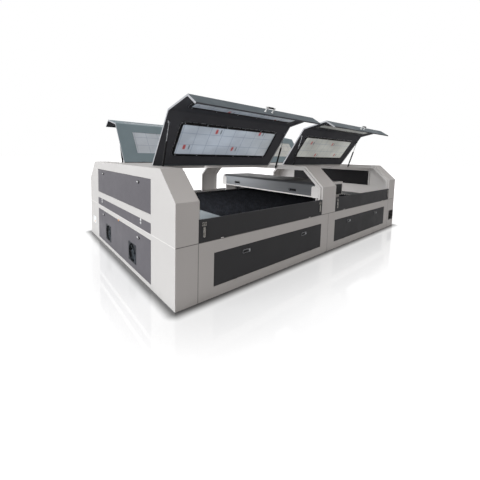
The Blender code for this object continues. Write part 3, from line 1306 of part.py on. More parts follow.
def main():
    left, right = BAYS["left"], BAYS["right"]
    arch = make_end_arch("end_arch_left", X_LEFT, X_BAY_LEFT)
    add_studs(arch, [(left, -1)])
    arch = make_end_arch("end_arch_right", X_RIGHT, X_END_RIGHT)
    add_studs(arch, [(right, 1)])
    add_studs(make_middle_arch(), [(left, 1), (right, -1)])
    make_end_base("end_base_left", X_LEFT, X_BAY_LEFT)
    make_end_base("end_base_right", X_RIGHT, X_END_RIGHT)
    make_base("base_left", X_BAY_LEFT + GAP / 2, X_JOINT - GAP / 2, DOORS["left"], left,
              (X_BAY_LEFT + GAP, X_BED - GAP))
    make_base("base_right", X_JOINT + GAP / 2, X_END_RIGHT - GAP / 2, DOORS["right"], right,
              (X_BED_END + GAP, X_END_RIGHT - GAP))
    for end, x_face, inward in (("left", X_LEFT, 1), ("right", X_RIGHT, -1)):
        make_end_panel(f"upper_end_panel_{end}", x_face, inward, UPPER_PANEL_Z)
        make_end_panel(f"lower_end_panel_{end}", x_face, inward, LOWER_PANEL_Z, fans=end == "left")
    for place, side in SIDES.items():
        make_fan_impeller(f"fan_impeller_{place}", CENTRE_Y + side * FAN_FROM_CENTRE)
        make_guide_rail(f"guide_rail_{place}", side)
    for hand, bay in BAYS.items():
        make_top_panel(f"top_panel_{hand}", bay)
        make_tray(f"scrap_tray_{hand}", DOORS[hand])
        make_door(f"front_door_{hand}", DOORS[hand])
        for place, side in SIDES.items():
            key = f"{place}_{hand}"
            make_lid(f"lid_{key}", side, bay)
            make_window(f"window_{key}", side, bay)
            make_slant_window(f"slant_window_{key}", side, bay)
            make_flap(f"flap_{key}", side, bay, opened=-side * math.pi if place == "back" else 0.0)
            for x_strut, direction in strut_stations(bay):
                edge = "a" if direction < 0 else "b"
                make_strut(f"{key}_{edge}", side, x_strut)
    make_slat_bed()
    make_gantry_beam()
    make_gantry_cover()
    make_drive_shaft()
    make_drive_motor()
    make_head_carriage()
    make_cutting_head()


clear_scene()
PARTS = new_collection("laser_cutting_machine")
main()
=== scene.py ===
"""Looks of an enclosed gantry laser cutting machine: paint, glazing, fittings, bed, stage and camera.

Laid out as a Blender add-on and run as a script. The packed model is loaded as a fixed frame; each
operator finishes one group of its pieces or adds the fittings that ride on them. Metres, +Z up; the
machine's front faces -Y and its fan end faces -X.
"""

import json
import math

import bmesh
import bpy
import numpy as np
from mathutils import Matrix, Vector


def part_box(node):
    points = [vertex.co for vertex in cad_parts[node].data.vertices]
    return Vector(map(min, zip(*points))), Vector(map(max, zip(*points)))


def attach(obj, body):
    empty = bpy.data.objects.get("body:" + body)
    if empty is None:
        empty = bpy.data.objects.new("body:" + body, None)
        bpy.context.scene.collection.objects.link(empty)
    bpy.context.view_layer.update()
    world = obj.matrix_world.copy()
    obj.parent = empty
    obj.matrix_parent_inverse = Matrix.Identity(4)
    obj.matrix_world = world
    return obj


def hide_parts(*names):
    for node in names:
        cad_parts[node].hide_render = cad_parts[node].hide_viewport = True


bl_info = {
    "name": "Gantry laser cutting machine",
    "version": (1, 0, 0),
    "blender": (4, 5, 0),
    "location": "View3D > Sidebar > Laser cutter",
    "description": "Finishes, glazing and fittings of an enclosed gantry laser cutting machine",
    "category": "Object",
}

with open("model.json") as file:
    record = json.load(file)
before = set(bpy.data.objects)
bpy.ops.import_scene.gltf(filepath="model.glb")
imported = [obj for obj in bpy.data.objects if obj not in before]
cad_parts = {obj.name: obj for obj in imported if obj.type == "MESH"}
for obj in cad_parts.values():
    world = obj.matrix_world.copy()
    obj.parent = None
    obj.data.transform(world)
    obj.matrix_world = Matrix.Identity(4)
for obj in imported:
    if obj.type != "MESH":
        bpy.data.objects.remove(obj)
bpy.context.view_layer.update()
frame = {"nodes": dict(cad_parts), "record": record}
NODES = frame["nodes"]
JOINTS = {joint["name"]: joint for joint in frame["record"]["behaviour"]["joints"]}

# Measures of the packed model
SIDES = {"front": -1, "back": 1}
HANDS = ("left", "right")
CENTRE_Y = -0.00925
HALF_DEPTH = 1.27
HALF_LENGTH = 2.15
SEAM_Z = 0.478
SHOULDER_Z = 0.808
TOP_Z = 1.043
TOP_SETBACK = 0.25
SLANT = math.atan2(TOP_Z - SHOULDER_Z, TOP_SETBACK)
LID_OPEN = math.radians(56.0)
LID_CLEARANCE = 0.003
LID_SHEET = 0.002
WINDOW = (0.381, 0.720)
FAN_FROM_CENTRE = 0.402
FAN_Z = 0.190

# Zones of the casing that have a tone of their own, from their low to their high end
DECK_Y = (-0.8795, 0.8605)
DECK_Z = (0.494, 0.503)
STRIP_Y = (-0.857, 0.838)
STRIP_Z = (0.4795, 0.5755)
VENT_X = (1.952, 2.132)
VENT_Z = (0.121, 0.270)

# Middles of the plain fields on the film, along the machine and up the film
FILM_MARKS = ((-1.660, -1.332), (-1.325, -1.538), (-1.010, -1.333), (-0.676, -1.566), (0.506, -1.503),
              (1.113, -1.508), (0.802, -1.289), (1.396, -1.303))
SLANT_FILM_MARKS = ((-1.351, -1.218), (-0.649, -1.200))

# Sheens and tones that finishes share
WHITE = (1.0, 1.0, 1.0, 1.0)
PAINT_SHEEN = 0.22
SATIN_SHEEN = 0.14
DULL_SHEEN = 0.10


# Shared geometry


def grid_faces(rows, columns):
    """Quads between neighbouring rows of a grid whose last column is followed by its first."""
    index = np.arange(rows * columns).reshape(rows, columns)
    index = np.concatenate([index, index[:, :1]], axis=1)
    corners = (index[:-1, :-1], index[:-1, 1:], index[1:, 1:], index[1:, :-1])
    return np.stack(corners, axis=-1).reshape(-1, 4)


def tube(points):
    """A patch from rows of points, each closed round, with both end rows drawn in to their centres."""
    ends = [np.broadcast_to(row.mean(axis=0), row.shape)[None] for row in (points[0], points[-1])]
    points = np.concatenate([ends[0], points, ends[1]])
    return points.reshape(-1, 3), grid_faces(*points.shape[:2])


def band(points):
    """A patch from rows of points, each closed round, whose last row is joined to the first."""
    points = np.concatenate([points, points[:1]])
    return points.reshape(-1, 3), grid_faces(*points.shape[:2])


def repeated(patch, offsets):
    """Copies of one patch, each moved by a row of offsets."""
    points, faces = patch
    offsets = np.asarray(offsets, dtype=float).reshape(-1, 3)
    moved = (points[None] + offsets[:, None]).reshape(-1, 3)
    starts = np.arange(len(offsets)) * len(points)
    return moved, (faces[None] + starts[:, None, None]).reshape(-1, 4)


def placed(patch, matrix):
    """A patch with its points carried by a 4 x 4 matrix."""
    points, faces = patch
    matrix = np.array(matrix)
    return points @ matrix[:3, :3].T + matrix[:3, 3], faces


def joined(patches):
    """Several patches as one, with the faces of each counted on from those before it."""
    starts = np.cumsum([0] + [len(points) for points, _ in patches[:-1]])
    points = np.concatenate([points for points, _ in patches])
    return points, np.concatenate([faces + start for (_, faces), start in zip(patches, starts)])


def piece(name, patches, material, body):
    """A mesh object from patches, its doubles merged and its normals outward, riding on a body."""
    smooth_below = math.radians(35.0)
    points, faces = joined(patches)
    mesh = bpy.data.meshes.new(name)
    mesh.from_pydata(points.tolist(), [], faces.tolist())
    work = bmesh.new()
    work.from_mesh(mesh)
    bmesh.ops.remove_doubles(work, verts=work.verts, dist=1e-6)
    bmesh.ops.dissolve_degenerate(work, edges=work.edges, dist=1e-7)
    bmesh.ops.recalc_face_normals(work, faces=work.faces)
    work.to_mesh(mesh)
    work.free()
    mesh.materials.append(material)
    mesh.shade_smooth()
    mesh.set_sharp_from_angle(angle=smooth_below)
    item = bpy.data.objects.new(name, mesh)
    bpy.context.scene.collection.objects.link(item)
    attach(item, body)
    return item


def lathe(profile, sides):
    """Surface of revolution about Z: each (height, radius) of the profile swept through the full turn."""
    profile = np.asarray(profile, dtype=float)
    turn = np.linspace(0.0, math.tau, sides, endpoint=False)
    height = np.repeat(profile[:, :1], sides, axis=1)
    radius = profile[:, 1:]
    return tube(np.stack([radius * np.cos(turn), radius * np.sin(turn), height], axis=-1))


def outline(half_u, half_v, radius, steps=4):
    """Points round a rectangle with rounded corners: quarter circles about its four corner centres."""
    quarter = np.linspace(0.0, math.pi / 2, steps + 1)
    turn = np.concatenate([quarter + k * math.pi / 2 for k in range(4)])
    side_u = np.repeat([1, -1, -1, 1], steps + 1)
    side_v = np.repeat([1, 1, -1, -1], steps + 1)
    return np.stack([side_u * (half_u - radius) + radius * np.cos(turn),
                     side_v * (half_v - radius) + radius * np.sin(turn)], axis=-1)


def raised(rows, levels):
    """Flat rows of points, each lifted to its own level."""
    return np.stack([np.column_stack([row, np.full(len(row), level)]) for row, level in zip(rows, levels)])


def outlines(width, height, corner, rows):
    """One rounded outline for each (inset, level) of rows, as points of three coordinates."""
    least = 0.0004
    flat = [outline(width / 2 - inset, height / 2 - inset, max(corner - inset, least)) for inset, _ in rows]
    return raised(flat, [level for _, level in rows])


def plate(width, height, thickness, corner):
    """A flat plate on the XY plane: a rounded outline rising square and then turning in at its edge."""
    edge = 0.0008
    return tube(outlines(width, height, corner, [(0.0, 0.0), (0.0, thickness - edge), (edge, thickness)]))


def ring(width, height, breadth, thickness, corner):
    """A flat frame on the XY plane: its small section carried round a rounded outline."""
    edge = 0.0006
    rows = [(0.0, 0.0), (0.0, thickness - edge), (edge, thickness), (breadth - edge, thickness),
            (breadth, thickness - edge), (breadth, 0.0)]
    return band(outlines(width, height, corner, rows))


def block(low, high, radius):
    """A block with rounded edges between two corners: outlines that widen and narrow as quarter circles."""
    steps = 2
    low, high = np.minimum(low, high), np.maximum(low, high)
    core = (high - low) / 2 - radius
    quarter = np.linspace(0.0, math.pi / 2, steps + 1)
    rise = np.concatenate([quarter - math.pi / 2, quarter])
    levels = np.sin(rise) * radius + core[2] * np.repeat([-1, 1], steps + 1)
    rows = [outline(core[0] + reach, core[1] + reach, reach, steps) for reach in np.cos(rise) * radius]
    points, faces = tube(raised(rows, levels))
    return points + (low + high) / 2, faces


def rounded_path(corners, radius):
    """The corners of a path, each replaced by a parabola between points a radius away from it."""
    steps = 5
    corners = np.asarray(corners, dtype=float)
    share = np.linspace(0.0, 1.0, steps)[:, None]
    parts = [corners[:1]]
    for before, corner, after in zip(corners[:-2], corners[1:-1], corners[2:]):
        start = corner + (before - corner) / np.linalg.norm(before - corner) * radius
        end = corner + (after - corner) / np.linalg.norm(after - corner) * radius
        parts.append((1 - share) ** 2 * start + 2 * share * (1 - share) * corner + share ** 2 * end)
    return np.concatenate([*parts, corners[-1:]])


def wire(path, normal, radius):
    """A round bar along a flat path: a circle square to the path at each point, given the path's normal."""
    sides = 8
    along = np.gradient(path, axis=0)
    along /= np.linalg.norm(along, axis=1, keepdims=True)
    first = np.broadcast_to(np.asarray(normal, dtype=float), along.shape)
    second = np.cross(along, first)
    turn = np.linspace(0.0, math.tau, sides, endpoint=False)[None, :, None]
    return tube(path[:, None] + radius * (np.cos(turn) * first[:, None] + np.sin(turn) * second[:, None]))


def bezel(width, height, radius, thickness, depth):
    """A rectangular frame round a circular hole: outlines at the rim, circles at the hole."""
    steps, corner, edge = 8, 0.004, 0.0006
    turn = np.radians(np.arange(4 * (steps + 1)) * 90.0 / (steps + 1) + 45.0 / (steps + 1))
    circle = radius * np.stack([np.cos(turn), np.sin(turn)], axis=-1)
    rim = [outline(width / 2 - inset, height / 2 - inset, corner, steps) for inset in (0.0, 0.0, edge)]
    return band(raised([*rim, circle, circle], (0.0, thickness - edge, thickness, thickness, -depth)))


def hoop(radius, wire_radius, level):
    """A wire hoop about Z: a small circle carried round a large one."""
    around, section = 36, 6
    turn = np.linspace(0.0, math.tau, around, endpoint=False)
    small = np.linspace(0.0, math.tau, section, endpoint=False)[:, None]
    reach = radius + wire_radius * np.cos(small)
    height = np.repeat(level + wire_radius * np.sin(small), around, axis=1)
    return band(np.stack([reach * np.cos(turn), reach * np.sin(turn), height], axis=-1))


def screw(radius, rise):
    """A button-head screw standing on the XY plane, with a round socket sunk in its head."""
    return lathe([(0.0, radius), (rise * 0.5, radius), (rise * 0.85, radius * 0.8), (rise, radius * 0.55),
                  (rise, radius * 0.38), (rise * 0.3, radius * 0.34)], sides=10)


def screws(radius, rise, places):
    """Screws at (x, y) places on the XY plane, or at (x, y, z)."""
    return repeated(screw(radius, rise), [(*place, 0.0)[:3] for place in places])


# Places on the machine

FACES = {"front": (0, -1, 0), "left": (-1, 0, 0), "right": (1, 0, 0), "down": (0, 0, -1)}


def facing(place, out):
    """Takes the XY plane to a face: Z goes along out, and Y as nearly upwards as it can."""
    out = Vector(FACES[out] if isinstance(out, str) else out).normalized()
    upright = Vector((0.0, 0.0, 1.0)) if abs(out.z) < 0.99 else Vector((0.0, 1.0, 0.0))
    across = upright.cross(out).normalized()
    matrix = Matrix((across, out.cross(across), out)).transposed().to_4x4()
    matrix.translation = place
    return matrix


def y_at(side, depth):
    """A place at a depth behind the front face (side -1) or the back face (side 1)."""
    return CENTRE_Y + side * (HALF_DEPTH - depth)


def corners_of(node):
    """The low and the high corner of a node's box."""
    low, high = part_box(node)
    return np.array(low), np.array(high)


def joint_point(name):
    """A point on a joint's axis."""
    return np.array(JOINTS[name]["pos_m"])


def lid_keys():
    """The name of each lid's place with the side that it is on."""
    return [(f"{place}_{hand}", side) for place, side in SIDES.items() for hand in HANDS]


def turn_about(point, angle):
    """Turns about the X line through a point."""
    shift = Matrix.Translation(Vector(point))
    return shift @ Matrix.Rotation(angle, 4, "X") @ shift.inverted()


def opened_lid(key, side):
    """Takes a place on the closed lid to where the open lid has it."""
    return turn_about(joint_point(f"lid_{key}_hinge"), side * LID_OPEN)


def resting_flap(key, side):
    """Takes a place on the closed flap to where it rests: the back flaps hang open."""
    return turn_about(joint_point(f"flap_{key}_hinge"), math.pi if side > 0 else 0.0)


def bay_of(hand):
    """Both ends of a bay, from the lid that spans it less its clearance."""
    low, high = corners_of(f"lid_front_{hand}")
    return low[0] - LID_CLEARANCE, high[0] + LID_CLEARANCE


# Materials


class Tree:
    """A node tree under construction, with the steps that the finishes and the world share."""

    def __init__(self, tree):
        self.tree = tree

    def node(self, kind, inputs=None, **settings):
        """A new node with its settings, and a value or a link at each input that is named."""
        item = self.tree.nodes.new(kind)
        for key, value in settings.items():
            setattr(item, key, value)
        for key, value in (inputs or {}).items():
            self.connect(value, item.inputs[key])
        return item

    def connect(self, value, socket):
        """Links an output to a socket, or gives the socket a plain value."""
        if isinstance(value, bpy.types.NodeSocket):
            self.tree.links.new(value, socket)
        else:
            socket.default_value = value

    def ramp(self, value, low, high, low_out=0.0, high_out=1.0):
        """Smooth step from one output to the other while the value goes from low to high."""
        inputs = {"Value": value, "From Min": low, "From Max": high, "To Min": low_out, "To Max": high_out}
        return self.node("ShaderNodeMapRange", inputs, interpolation_type="SMOOTHSTEP").outputs[0]

    def maths(self, operation, first, second=0.0):
        """One step of arithmetic."""
        return self.node("ShaderNodeMath", {0: first, 1: second}, operation=operation).outputs[0]

    def product(self, *factors):
        """All factors multiplied."""
        result = factors[0]
        for factor in factors[1:]:
            result = self.maths("MULTIPLY", result, factor)
        return result

    def apart(self, value, place):
        """Distance of a value from a place."""
        return self.maths("ABSOLUTE", self.maths("SUBTRACT", value, place))

    def mix(self, factor, first, second):
        """The first colour where the factor is nothing, and the second where it is one."""
        item = self.node("ShaderNodeMix", data_type="RGBA")
        for value, socket in ((factor, 0), (first, 6), (second, 7)):
            self.connect(value, item.inputs[socket])
        return item.outputs[2]


class Finish(Tree):
    """A material under construction, with its Principled shader and its Object coordinates."""

    def __init__(self, name, roughness=0.45, metallic=0.0, specular=PAINT_SHEEN):
        self.material = bpy.data.materials.new(name)
        self.material.use_nodes = True
        super().__init__(self.material.node_tree)
        self.shader = self.tree.nodes["Principled BSDF"]
        self.coordinates = self.tree.nodes.new("ShaderNodeTexCoord").outputs
        self.surface("Roughness", roughness)
        self.surface("Metallic", metallic)
        self.surface("Specular IOR Level", specular)

    def surface(self, key, value):
        """Sets an input of the shader."""
        self.connect(value, self.shader.inputs[key])

    def colour(self, value):
        """Sets the base colour."""
        self.surface("Base Color", value)

    def roughness(self, noise, low, high):
        """Sets the roughness, which goes from low to high over the middle range of a noise."""
        self.surface("Roughness", self.ramp(noise, 0.3, 0.7, low, high))

    def bump(self, height, strength, distance=0.0004):
        """Relief from a height."""
        item = self.node("ShaderNodeBump", {"Height": height, "Strength": strength, "Distance": distance})
        self.surface("Normal", item.outputs[0])

    def noise(self, scale, detail, stretch=(1.0, 1.0, 1.0)):
        """Fractal noise on Object coordinates, in cycles a metre, stretched along the axes."""
        place = self.node("ShaderNodeMapping", {"Vector": self.coordinates["Object"], "Scale": stretch})
        inputs = {"Vector": place.outputs[0], "Scale": scale, "Detail": detail, "Roughness": 0.55}
        return self.node("ShaderNodeTexNoise", inputs).outputs["Fac"]

    def axis(self, output, which):
        """One coordinate of the Object position or of the Normal."""
        return self.node("ShaderNodeSeparateXYZ", {0: self.coordinates[output]}).outputs[which]

    def vector(self, operation, first, second=(0.0, 0.0, 0.0), output="Vector"):
        """One step of vector arithmetic, whose result is a vector or, as output Value, a number."""
        return self.node("ShaderNodeVectorMath", {0: first, 1: second}, operation=operation).outputs[output]

    def along(self, output, direction):
        """The Object position or the Normal measured along a direction: their dot product."""
        return self.vector("DOT_PRODUCT", self.coordinates[output], direction, "Value")

    def line(self, value, place, half_width):
        """One at a place on an axis, falling to nothing at half a width from it."""
        return self.ramp(self.apart(value, place), half_width, half_width * 0.5)

    def between(self, value, low, high):
        """One between two places on an axis, and nothing beyond a narrow border."""
        soft = 0.0005
        return self.product(self.ramp(value, low - soft, low), self.ramp(value, high + soft, high))


def shade(colour, factor=1.0):
    """A colour made darker or lighter, with its alpha."""
    return (*[min(1.0, channel * factor) for channel in colour[:3]], 1.0)


def coat(finish, colour, roughness, grime=0.03):
    """Colour of textured powder coat: cloudiness, fine specks, and dust and scuffs low down."""
    cloud = finish.ramp(finish.noise(1.6, 5.0), 0.3, 0.72)
    tone = finish.mix(cloud, shade(colour, 1.0 - grime), shade(colour, 1.0 + grime * 0.5))
    speck = finish.ramp(finish.noise(330.0, 2.0), 0.66, 0.8)
    tone = finish.mix(finish.product(speck, 0.07), tone, shade(colour, 0.7))
    low = finish.ramp(finish.axis("Object", 2), 0.09, 0.0)
    scuff = finish.product(low, finish.ramp(finish.noise(9.0, 6.0), 0.45, 0.8))
    finish.roughness(finish.noise(5.0, 5.0), roughness - 0.05, roughness + 0.08)
    finish.bump(finish.noise(1400.0, 3.0), 0.22)
    return finish.mix(finish.product(scuff, 0.28), tone, shade(colour, 0.6))


def powder_coat(name, colour, roughness, specular=PAINT_SHEEN):
    """Plain powder coat."""
    finish = Finish(name, roughness, specular=specular)
    finish.colour(coat(finish, colour, roughness))
    return finish.material


def casing_coat(name, colour, deck, strip, joints):
    """Powder coat of the casing, with grey decks beside the bed that are darker in the right bay as painted
    shade, grey strips across the ends, a vent painted black without sheen as painted shade in its depth, dark
    hinge leaves on top, and painted shade in the joints between its sections that turns to a painted
    highlight where they face the fan end."""
    vent_shade_black, leaf_black = (0.002, 0.002, 0.002), (0.035, 0.035, 0.037)
    seam_half, joint_half = 0.0042, 0.0036
    finish = Finish(name)
    tone = coat(finish, colour, roughness=0.42, grime=0.025)
    x, y, z = (finish.axis("Object", which) for which in range(3))
    upward = finish.ramp(finish.axis("Normal", 2), 0.8, 0.95)
    decks = finish.product(finish.between(z, *DECK_Z), upward, finish.between(y, *DECK_Y))
    # Painted shade: the decks in the right bay are darker.
    in_shade = finish.ramp(x, 1.0, 1.2)
    tone = finish.mix(decks, tone, finish.mix(in_shade, shade(deck), shade(deck, 0.45)))
    beyond = finish.ramp(finish.maths("ABSOLUTE", x), HALF_LENGTH + 0.0002, HALF_LENGTH + 0.0007)
    strips = finish.product(beyond, finish.between(z, *STRIP_Z), finish.between(y, *STRIP_Y))
    tone = finish.mix(strips, tone, shade(strip))
    # Painted shade: the vent's louvres painted black and without sheen, standing in for the dark depth of the
    # vent.
    front = finish.ramp(y, -1.19, -1.20)
    vent = finish.product(finish.between(x, *VENT_X), finish.between(z, *VENT_Z), front)
    tone = finish.mix(vent, tone, shade(vent_shade_black))
    finish.surface("Specular IOR Level", finish.ramp(vent, 0.0, 1.0, PAINT_SHEEN, 0.0))
    leaves = finish.ramp(z, TOP_Z + 0.0004, TOP_Z + 0.0008)
    tone = finish.mix(leaves, tone, shade(leaf_black))
    below = finish.ramp(z, SEAM_Z + 0.0005, SEAM_Z)
    outer = finish.ramp(finish.maths("ABSOLUTE", y), 1.2, 1.25)
    joint_light_and_shade = finish.line(z, SEAM_Z, seam_half)
    for place in joints:
        upright = finish.product(finish.line(x, place, joint_half), below, outer)
        joint_light_and_shade = finish.maths("MAXIMUM", joint_light_and_shade, upright)
    # Painted shade in the joints between sections, and a painted highlight on them where they face the fan
    # end.
    fan_end = finish.ramp(finish.axis("Normal", 0), -0.5, -0.8)
    joint = finish.mix(fan_end, shade(colour, 0.15), shade(colour, 1.4))
    finish.colour(finish.mix(finish.product(joint_light_and_shade, 0.8), tone, joint))
    return finish.material


def panel_coat(name, colour):
    """Powder coat of the end panels, with painted shade on their inner side and black painted shade in the
    depth of the fan openings.
    """
    hollow_shade_black, half_wide, half_high = (0.02, 0.023, 0.027), 0.105, 0.110
    finish = Finish(name)
    tone = coat(finish, colour, roughness=0.36)
    x, y, z = (finish.axis("Object", which) for which in range(3))
    # Painted shade: black in the depth of the fan openings.
    depth = finish.product(finish.ramp(x, -2.1496, -2.1490), finish.ramp(x, -2.09, -2.10))
    from_fan = finish.maths("SUBTRACT", finish.apart(y, CENTRE_Y), FAN_FROM_CENTRE)
    openings = finish.product(depth, finish.between(from_fan, -half_wide, half_wide),
                              finish.between(z, FAN_Z - half_high, FAN_Z + half_high))
    # Painted shade: the panels' inner side much darker than their outside.
    inner = finish.ramp(finish.product(x, finish.axis("Normal", 0)), 0.0, -0.5)
    tone = finish.mix(inner, tone, shade(colour, 0.10))
    finish.colour(finish.mix(openings, tone, shade(hollow_shade_black)))
    return finish.material


def bridge_coat(name, colour, face):
    """Bridge cover: slate with painted light and shade, lighter upwards and much darker towards the front,
    with painted shade on its top and inside, a pale lower fold, pale end caps, and streaks where hands push
    it."""
    cap_from_centre, fold_z = 0.963, 0.6285
    finish = Finish(name)
    tone = coat(finish, colour, roughness=0.4)
    y, z, rise = finish.axis("Object", 1), finish.axis("Object", 2), finish.axis("Normal", 2)
    streak = finish.ramp(finish.noise(3.0, 5.0, stretch=(1.0, 0.3, 3.0)), 0.3, 0.75)
    # Painted light and shade on the slate face: lighter upwards, much darker towards the front.
    slate = finish.mix(finish.ramp(z, 0.62, 0.79), shade(face, 0.85), shade(face, 1.25))
    slate = finish.mix(finish.ramp(y, -0.75, 0.75), shade(face, 0.35), slate)
    # Painted shade: the upward faces of the cover nearly black.
    slate = finish.mix(finish.ramp(rise, 0.5, 0.8), slate, shade(face, 0.09))
    slate = finish.mix(finish.product(streak, 0.25), slate, shade(face, 0.7))
    caps = finish.ramp(finish.apart(y, CENTRE_Y), cap_from_centre, cap_from_centre + 0.002)
    pale = finish.maths("MAXIMUM", caps, finish.ramp(z, fold_z + 0.001, fold_z))
    # Painted shade: the cover's downward faces inside it nearly black.
    inside = finish.product(finish.ramp(rise, -0.5, -0.8), finish.ramp(z, 0.615, 0.620))
    finish.colour(finish.mix(inside, finish.mix(pale, slate, tone), shade(face, 0.1)))
    return finish.material


def lid_paint(name, outer, inner, edge, side):
    """Lid sheet: slate outside, near black inside, a painted highlight on its cut edges and end faces, and
    black at the hinges.
    """
    finish = Finish(name, specular=SATIN_SHEEN)
    top = (0.0, math.sin(-side * LID_OPEN), math.cos(LID_OPEN))
    lip = (0.0, side * math.cos(LID_OPEN), math.sin(LID_OPEN))
    faces = [finish.along("Normal", direction) for direction in (top, lip)]
    outside = finish.maths("MAXIMUM", *[finish.ramp(face, 0.15, 0.3) for face in faces])
    inside = finish.maths("MAXIMUM", *[finish.ramp(face, -0.15, -0.3) for face in faces])
    cloud = finish.product(finish.ramp(finish.noise(3.0, 5.0), 0.35, 0.75), 0.3)
    slate, dark = [finish.mix(cloud, shade(colour), shade(colour, 0.75)) for colour in (outer, inner)]
    # Painted highlight: faces between the outside and the inside, the sheet's cut edges, get the light edge
    # colour.
    tone = finish.mix(inside, finish.mix(outside, shade(edge), slate), dark)
    # Painted highlight: the end faces towards either end get the light edge colour too.
    sides = finish.ramp(finish.maths("ABSOLUTE", finish.axis("Normal", 0)), 0.7, 0.9)
    tone = finish.mix(sides, tone, shade(edge))
    hinge = joint_point("lid_front_left_hinge" if side < 0 else "lid_back_left_hinge")
    away = finish.vector("SUBTRACT", finish.coordinates["Object"], (0.0, *hinge[1:]))
    flat = finish.vector("MULTIPLY", away, (0.0, 1.0, 1.0))
    reach = finish.vector("LENGTH", flat, output="Value")
    finish.colour(finish.mix(finish.ramp(reach, 0.0095, 0.0085), tone, shade(inner, 0.5)))
    finish.roughness(finish.noise(6.0, 5.0), 0.52, 0.66)
    finish.bump(finish.noise(1500.0, 3.0), 0.2)
    return finish.material


def film_sheet(name, glazing, upward, glow, marks):
    """Acrylic pane under its protective film: milky, letting part of the light through, with a fine grid and
    plain fields of colour, a red and a dark one at each mark."""
    warm, red = (1.04, 0.99, 0.90, 1.0), (0.70, 0.11, 0.10, 1.0)
    red_half, dark_half, half_high, dark_before = 0.020, 0.010, 0.034, 0.058
    finish = Finish(name, specular=SATIN_SHEEN)
    across, along = finish.axis("Object", 0), finish.along("Object", upward)
    lines = []
    for place, pitch in ((across, glazing.pitch_x), (along, glazing.pitch_y)):
        part = finish.maths("FRACT", finish.maths("DIVIDE", place, pitch))
        lines.append(finish.line(part, 0.5, glazing.line_width / pitch))
    cloud = finish.ramp(finish.noise(2.2, 4.0, stretch=(1.0, 2.0, 1.0)), 0.3, 0.75)
    tone = finish.mix(cloud, shade(glazing.film, 0.88), shade(glazing.film, 1.08))
    tone = finish.vector("MULTIPLY", tone, finish.mix(finish.ramp(across, -1.2, 0.6), WHITE, warm))
    tone = finish.mix(finish.product(finish.maths("MAXIMUM", *lines), 0.5), tone, shade(glazing.line))
    for x, v in marks:
        level = finish.line(along, v, half_high)
        field = finish.product(finish.line(across, x, red_half), level, 0.75)
        tone = finish.mix(field, tone, red)
        field = finish.product(finish.line(across, x + dark_before, dark_half), level, 0.6)
        tone = finish.mix(field, tone, shade(glazing.line, 0.3))
    finish.colour(tone)
    finish.roughness(finish.noise(14.0, 4.0), 0.18, 0.4)
    finish.bump(finish.noise(7.0, 3.0, stretch=(1.0, 3.0, 1.0)), 0.12, 0.002)
    through = finish.node("ShaderNodeBsdfTranslucent", {"Color": tone}).outputs[0]
    both = finish.node("ShaderNodeMixShader", {0: glow, 1: finish.shader.outputs[0], 2: through}).outputs[0]
    finish.connect(both, finish.tree.nodes["Material Output"].inputs["Surface"])
    return finish.material


def ground_steel(name, colour, stretch=(1.0, 1.0, 1.0), roughness=0.28):
    """Ground and oiled steel: streaks along the shortened axis, with darker oily patches."""
    finish = Finish(name, metallic=1.0)
    streak = finish.noise(60.0, 5.0, stretch=stretch)
    tone = finish.mix(finish.ramp(streak, 0.3, 0.7), shade(colour, 0.75), shade(colour, 1.1))
    oil = finish.ramp(finish.noise(7.0, 5.0), 0.45, 0.75)
    finish.colour(finish.mix(finish.product(oil, 0.35), tone, shade(colour, 0.45)))
    finish.roughness(streak, roughness - 0.08, roughness + 0.14)
    finish.bump(streak, 0.1)
    return finish.material


def rail_steel(name, bright, black):
    """Guide rails: blackened sides, with ground faces on top that the bearings keep bright."""
    finish = Finish(name, metallic=1.0)
    streak = finish.noise(60.0, 5.0, stretch=(0.05, 1.0, 1.0))
    ground = finish.mix(finish.ramp(streak, 0.3, 0.7), shade(bright, 0.8), shade(bright, 1.15))
    stained = finish.mix(finish.ramp(finish.noise(8.0, 5.0), 0.4, 0.7), shade(black), shade(black, 2.2))
    finish.colour(finish.mix(finish.ramp(finish.axis("Normal", 2), 0.7, 0.9), stained, ground))
    finish.roughness(streak, 0.22, 0.45)
    finish.bump(streak, 0.1)
    return finish.material


def scorched_steel(name, colour):
    """Black, scorched slats: soot with rusty and bare spots towards the tips."""
    rust = (0.022, 0.018, 0.016, 1.0)
    finish = Finish(name, roughness=0.7, specular=DULL_SHEEN)
    tip = finish.ramp(finish.axis("Object", 2), 0.485, 0.51)
    burn = finish.product(tip, finish.ramp(finish.noise(40.0, 5.0), 0.45, 0.65))
    tone = finish.mix(finish.ramp(finish.noise(12.0, 5.0), 0.35, 0.7), shade(colour, 0.7), shade(colour, 1.7))
    finish.colour(finish.mix(finish.product(burn, 0.6), tone, rust))
    finish.bump(finish.noise(90.0, 5.0), 0.4, 0.001)
    return finish.material


def moulded(name, colour, roughness=0.45):
    """Moulded plastic or enamel with a fine grain."""
    finish = Finish(name)
    cloud = finish.ramp(finish.noise(20.0, 4.0), 0.35, 0.7)
    finish.colour(finish.mix(cloud, shade(colour, 0.85), shade(colour, 1.15)))
    finish.roughness(finish.noise(35.0, 4.0), roughness - 0.07, roughness + 0.08)
    finish.bump(finish.noise(2200.0, 2.0), 0.3, 0.0003)
    return finish.material


def fitting_finish(context, kind):
    """The finish that small fittings share, made once: ground metal, or enamel of the colour named."""
    name, colour = f"fitting_{kind}", getattr(context.scene.laser_fittings, kind)
    made = bpy.data.materials.get(name)
    if made:
        return made
    if kind in ("bright", "bronze"):
        return ground_steel(name, colour)
    return moulded(name, colour, roughness=0.4)


# Properties


def colour_property(name, description, default):
    """A colour."""
    return bpy.props.FloatVectorProperty(name=name, description=description, default=default, size=3,
                                         min=0.0, max=1.0, subtype="COLOR")


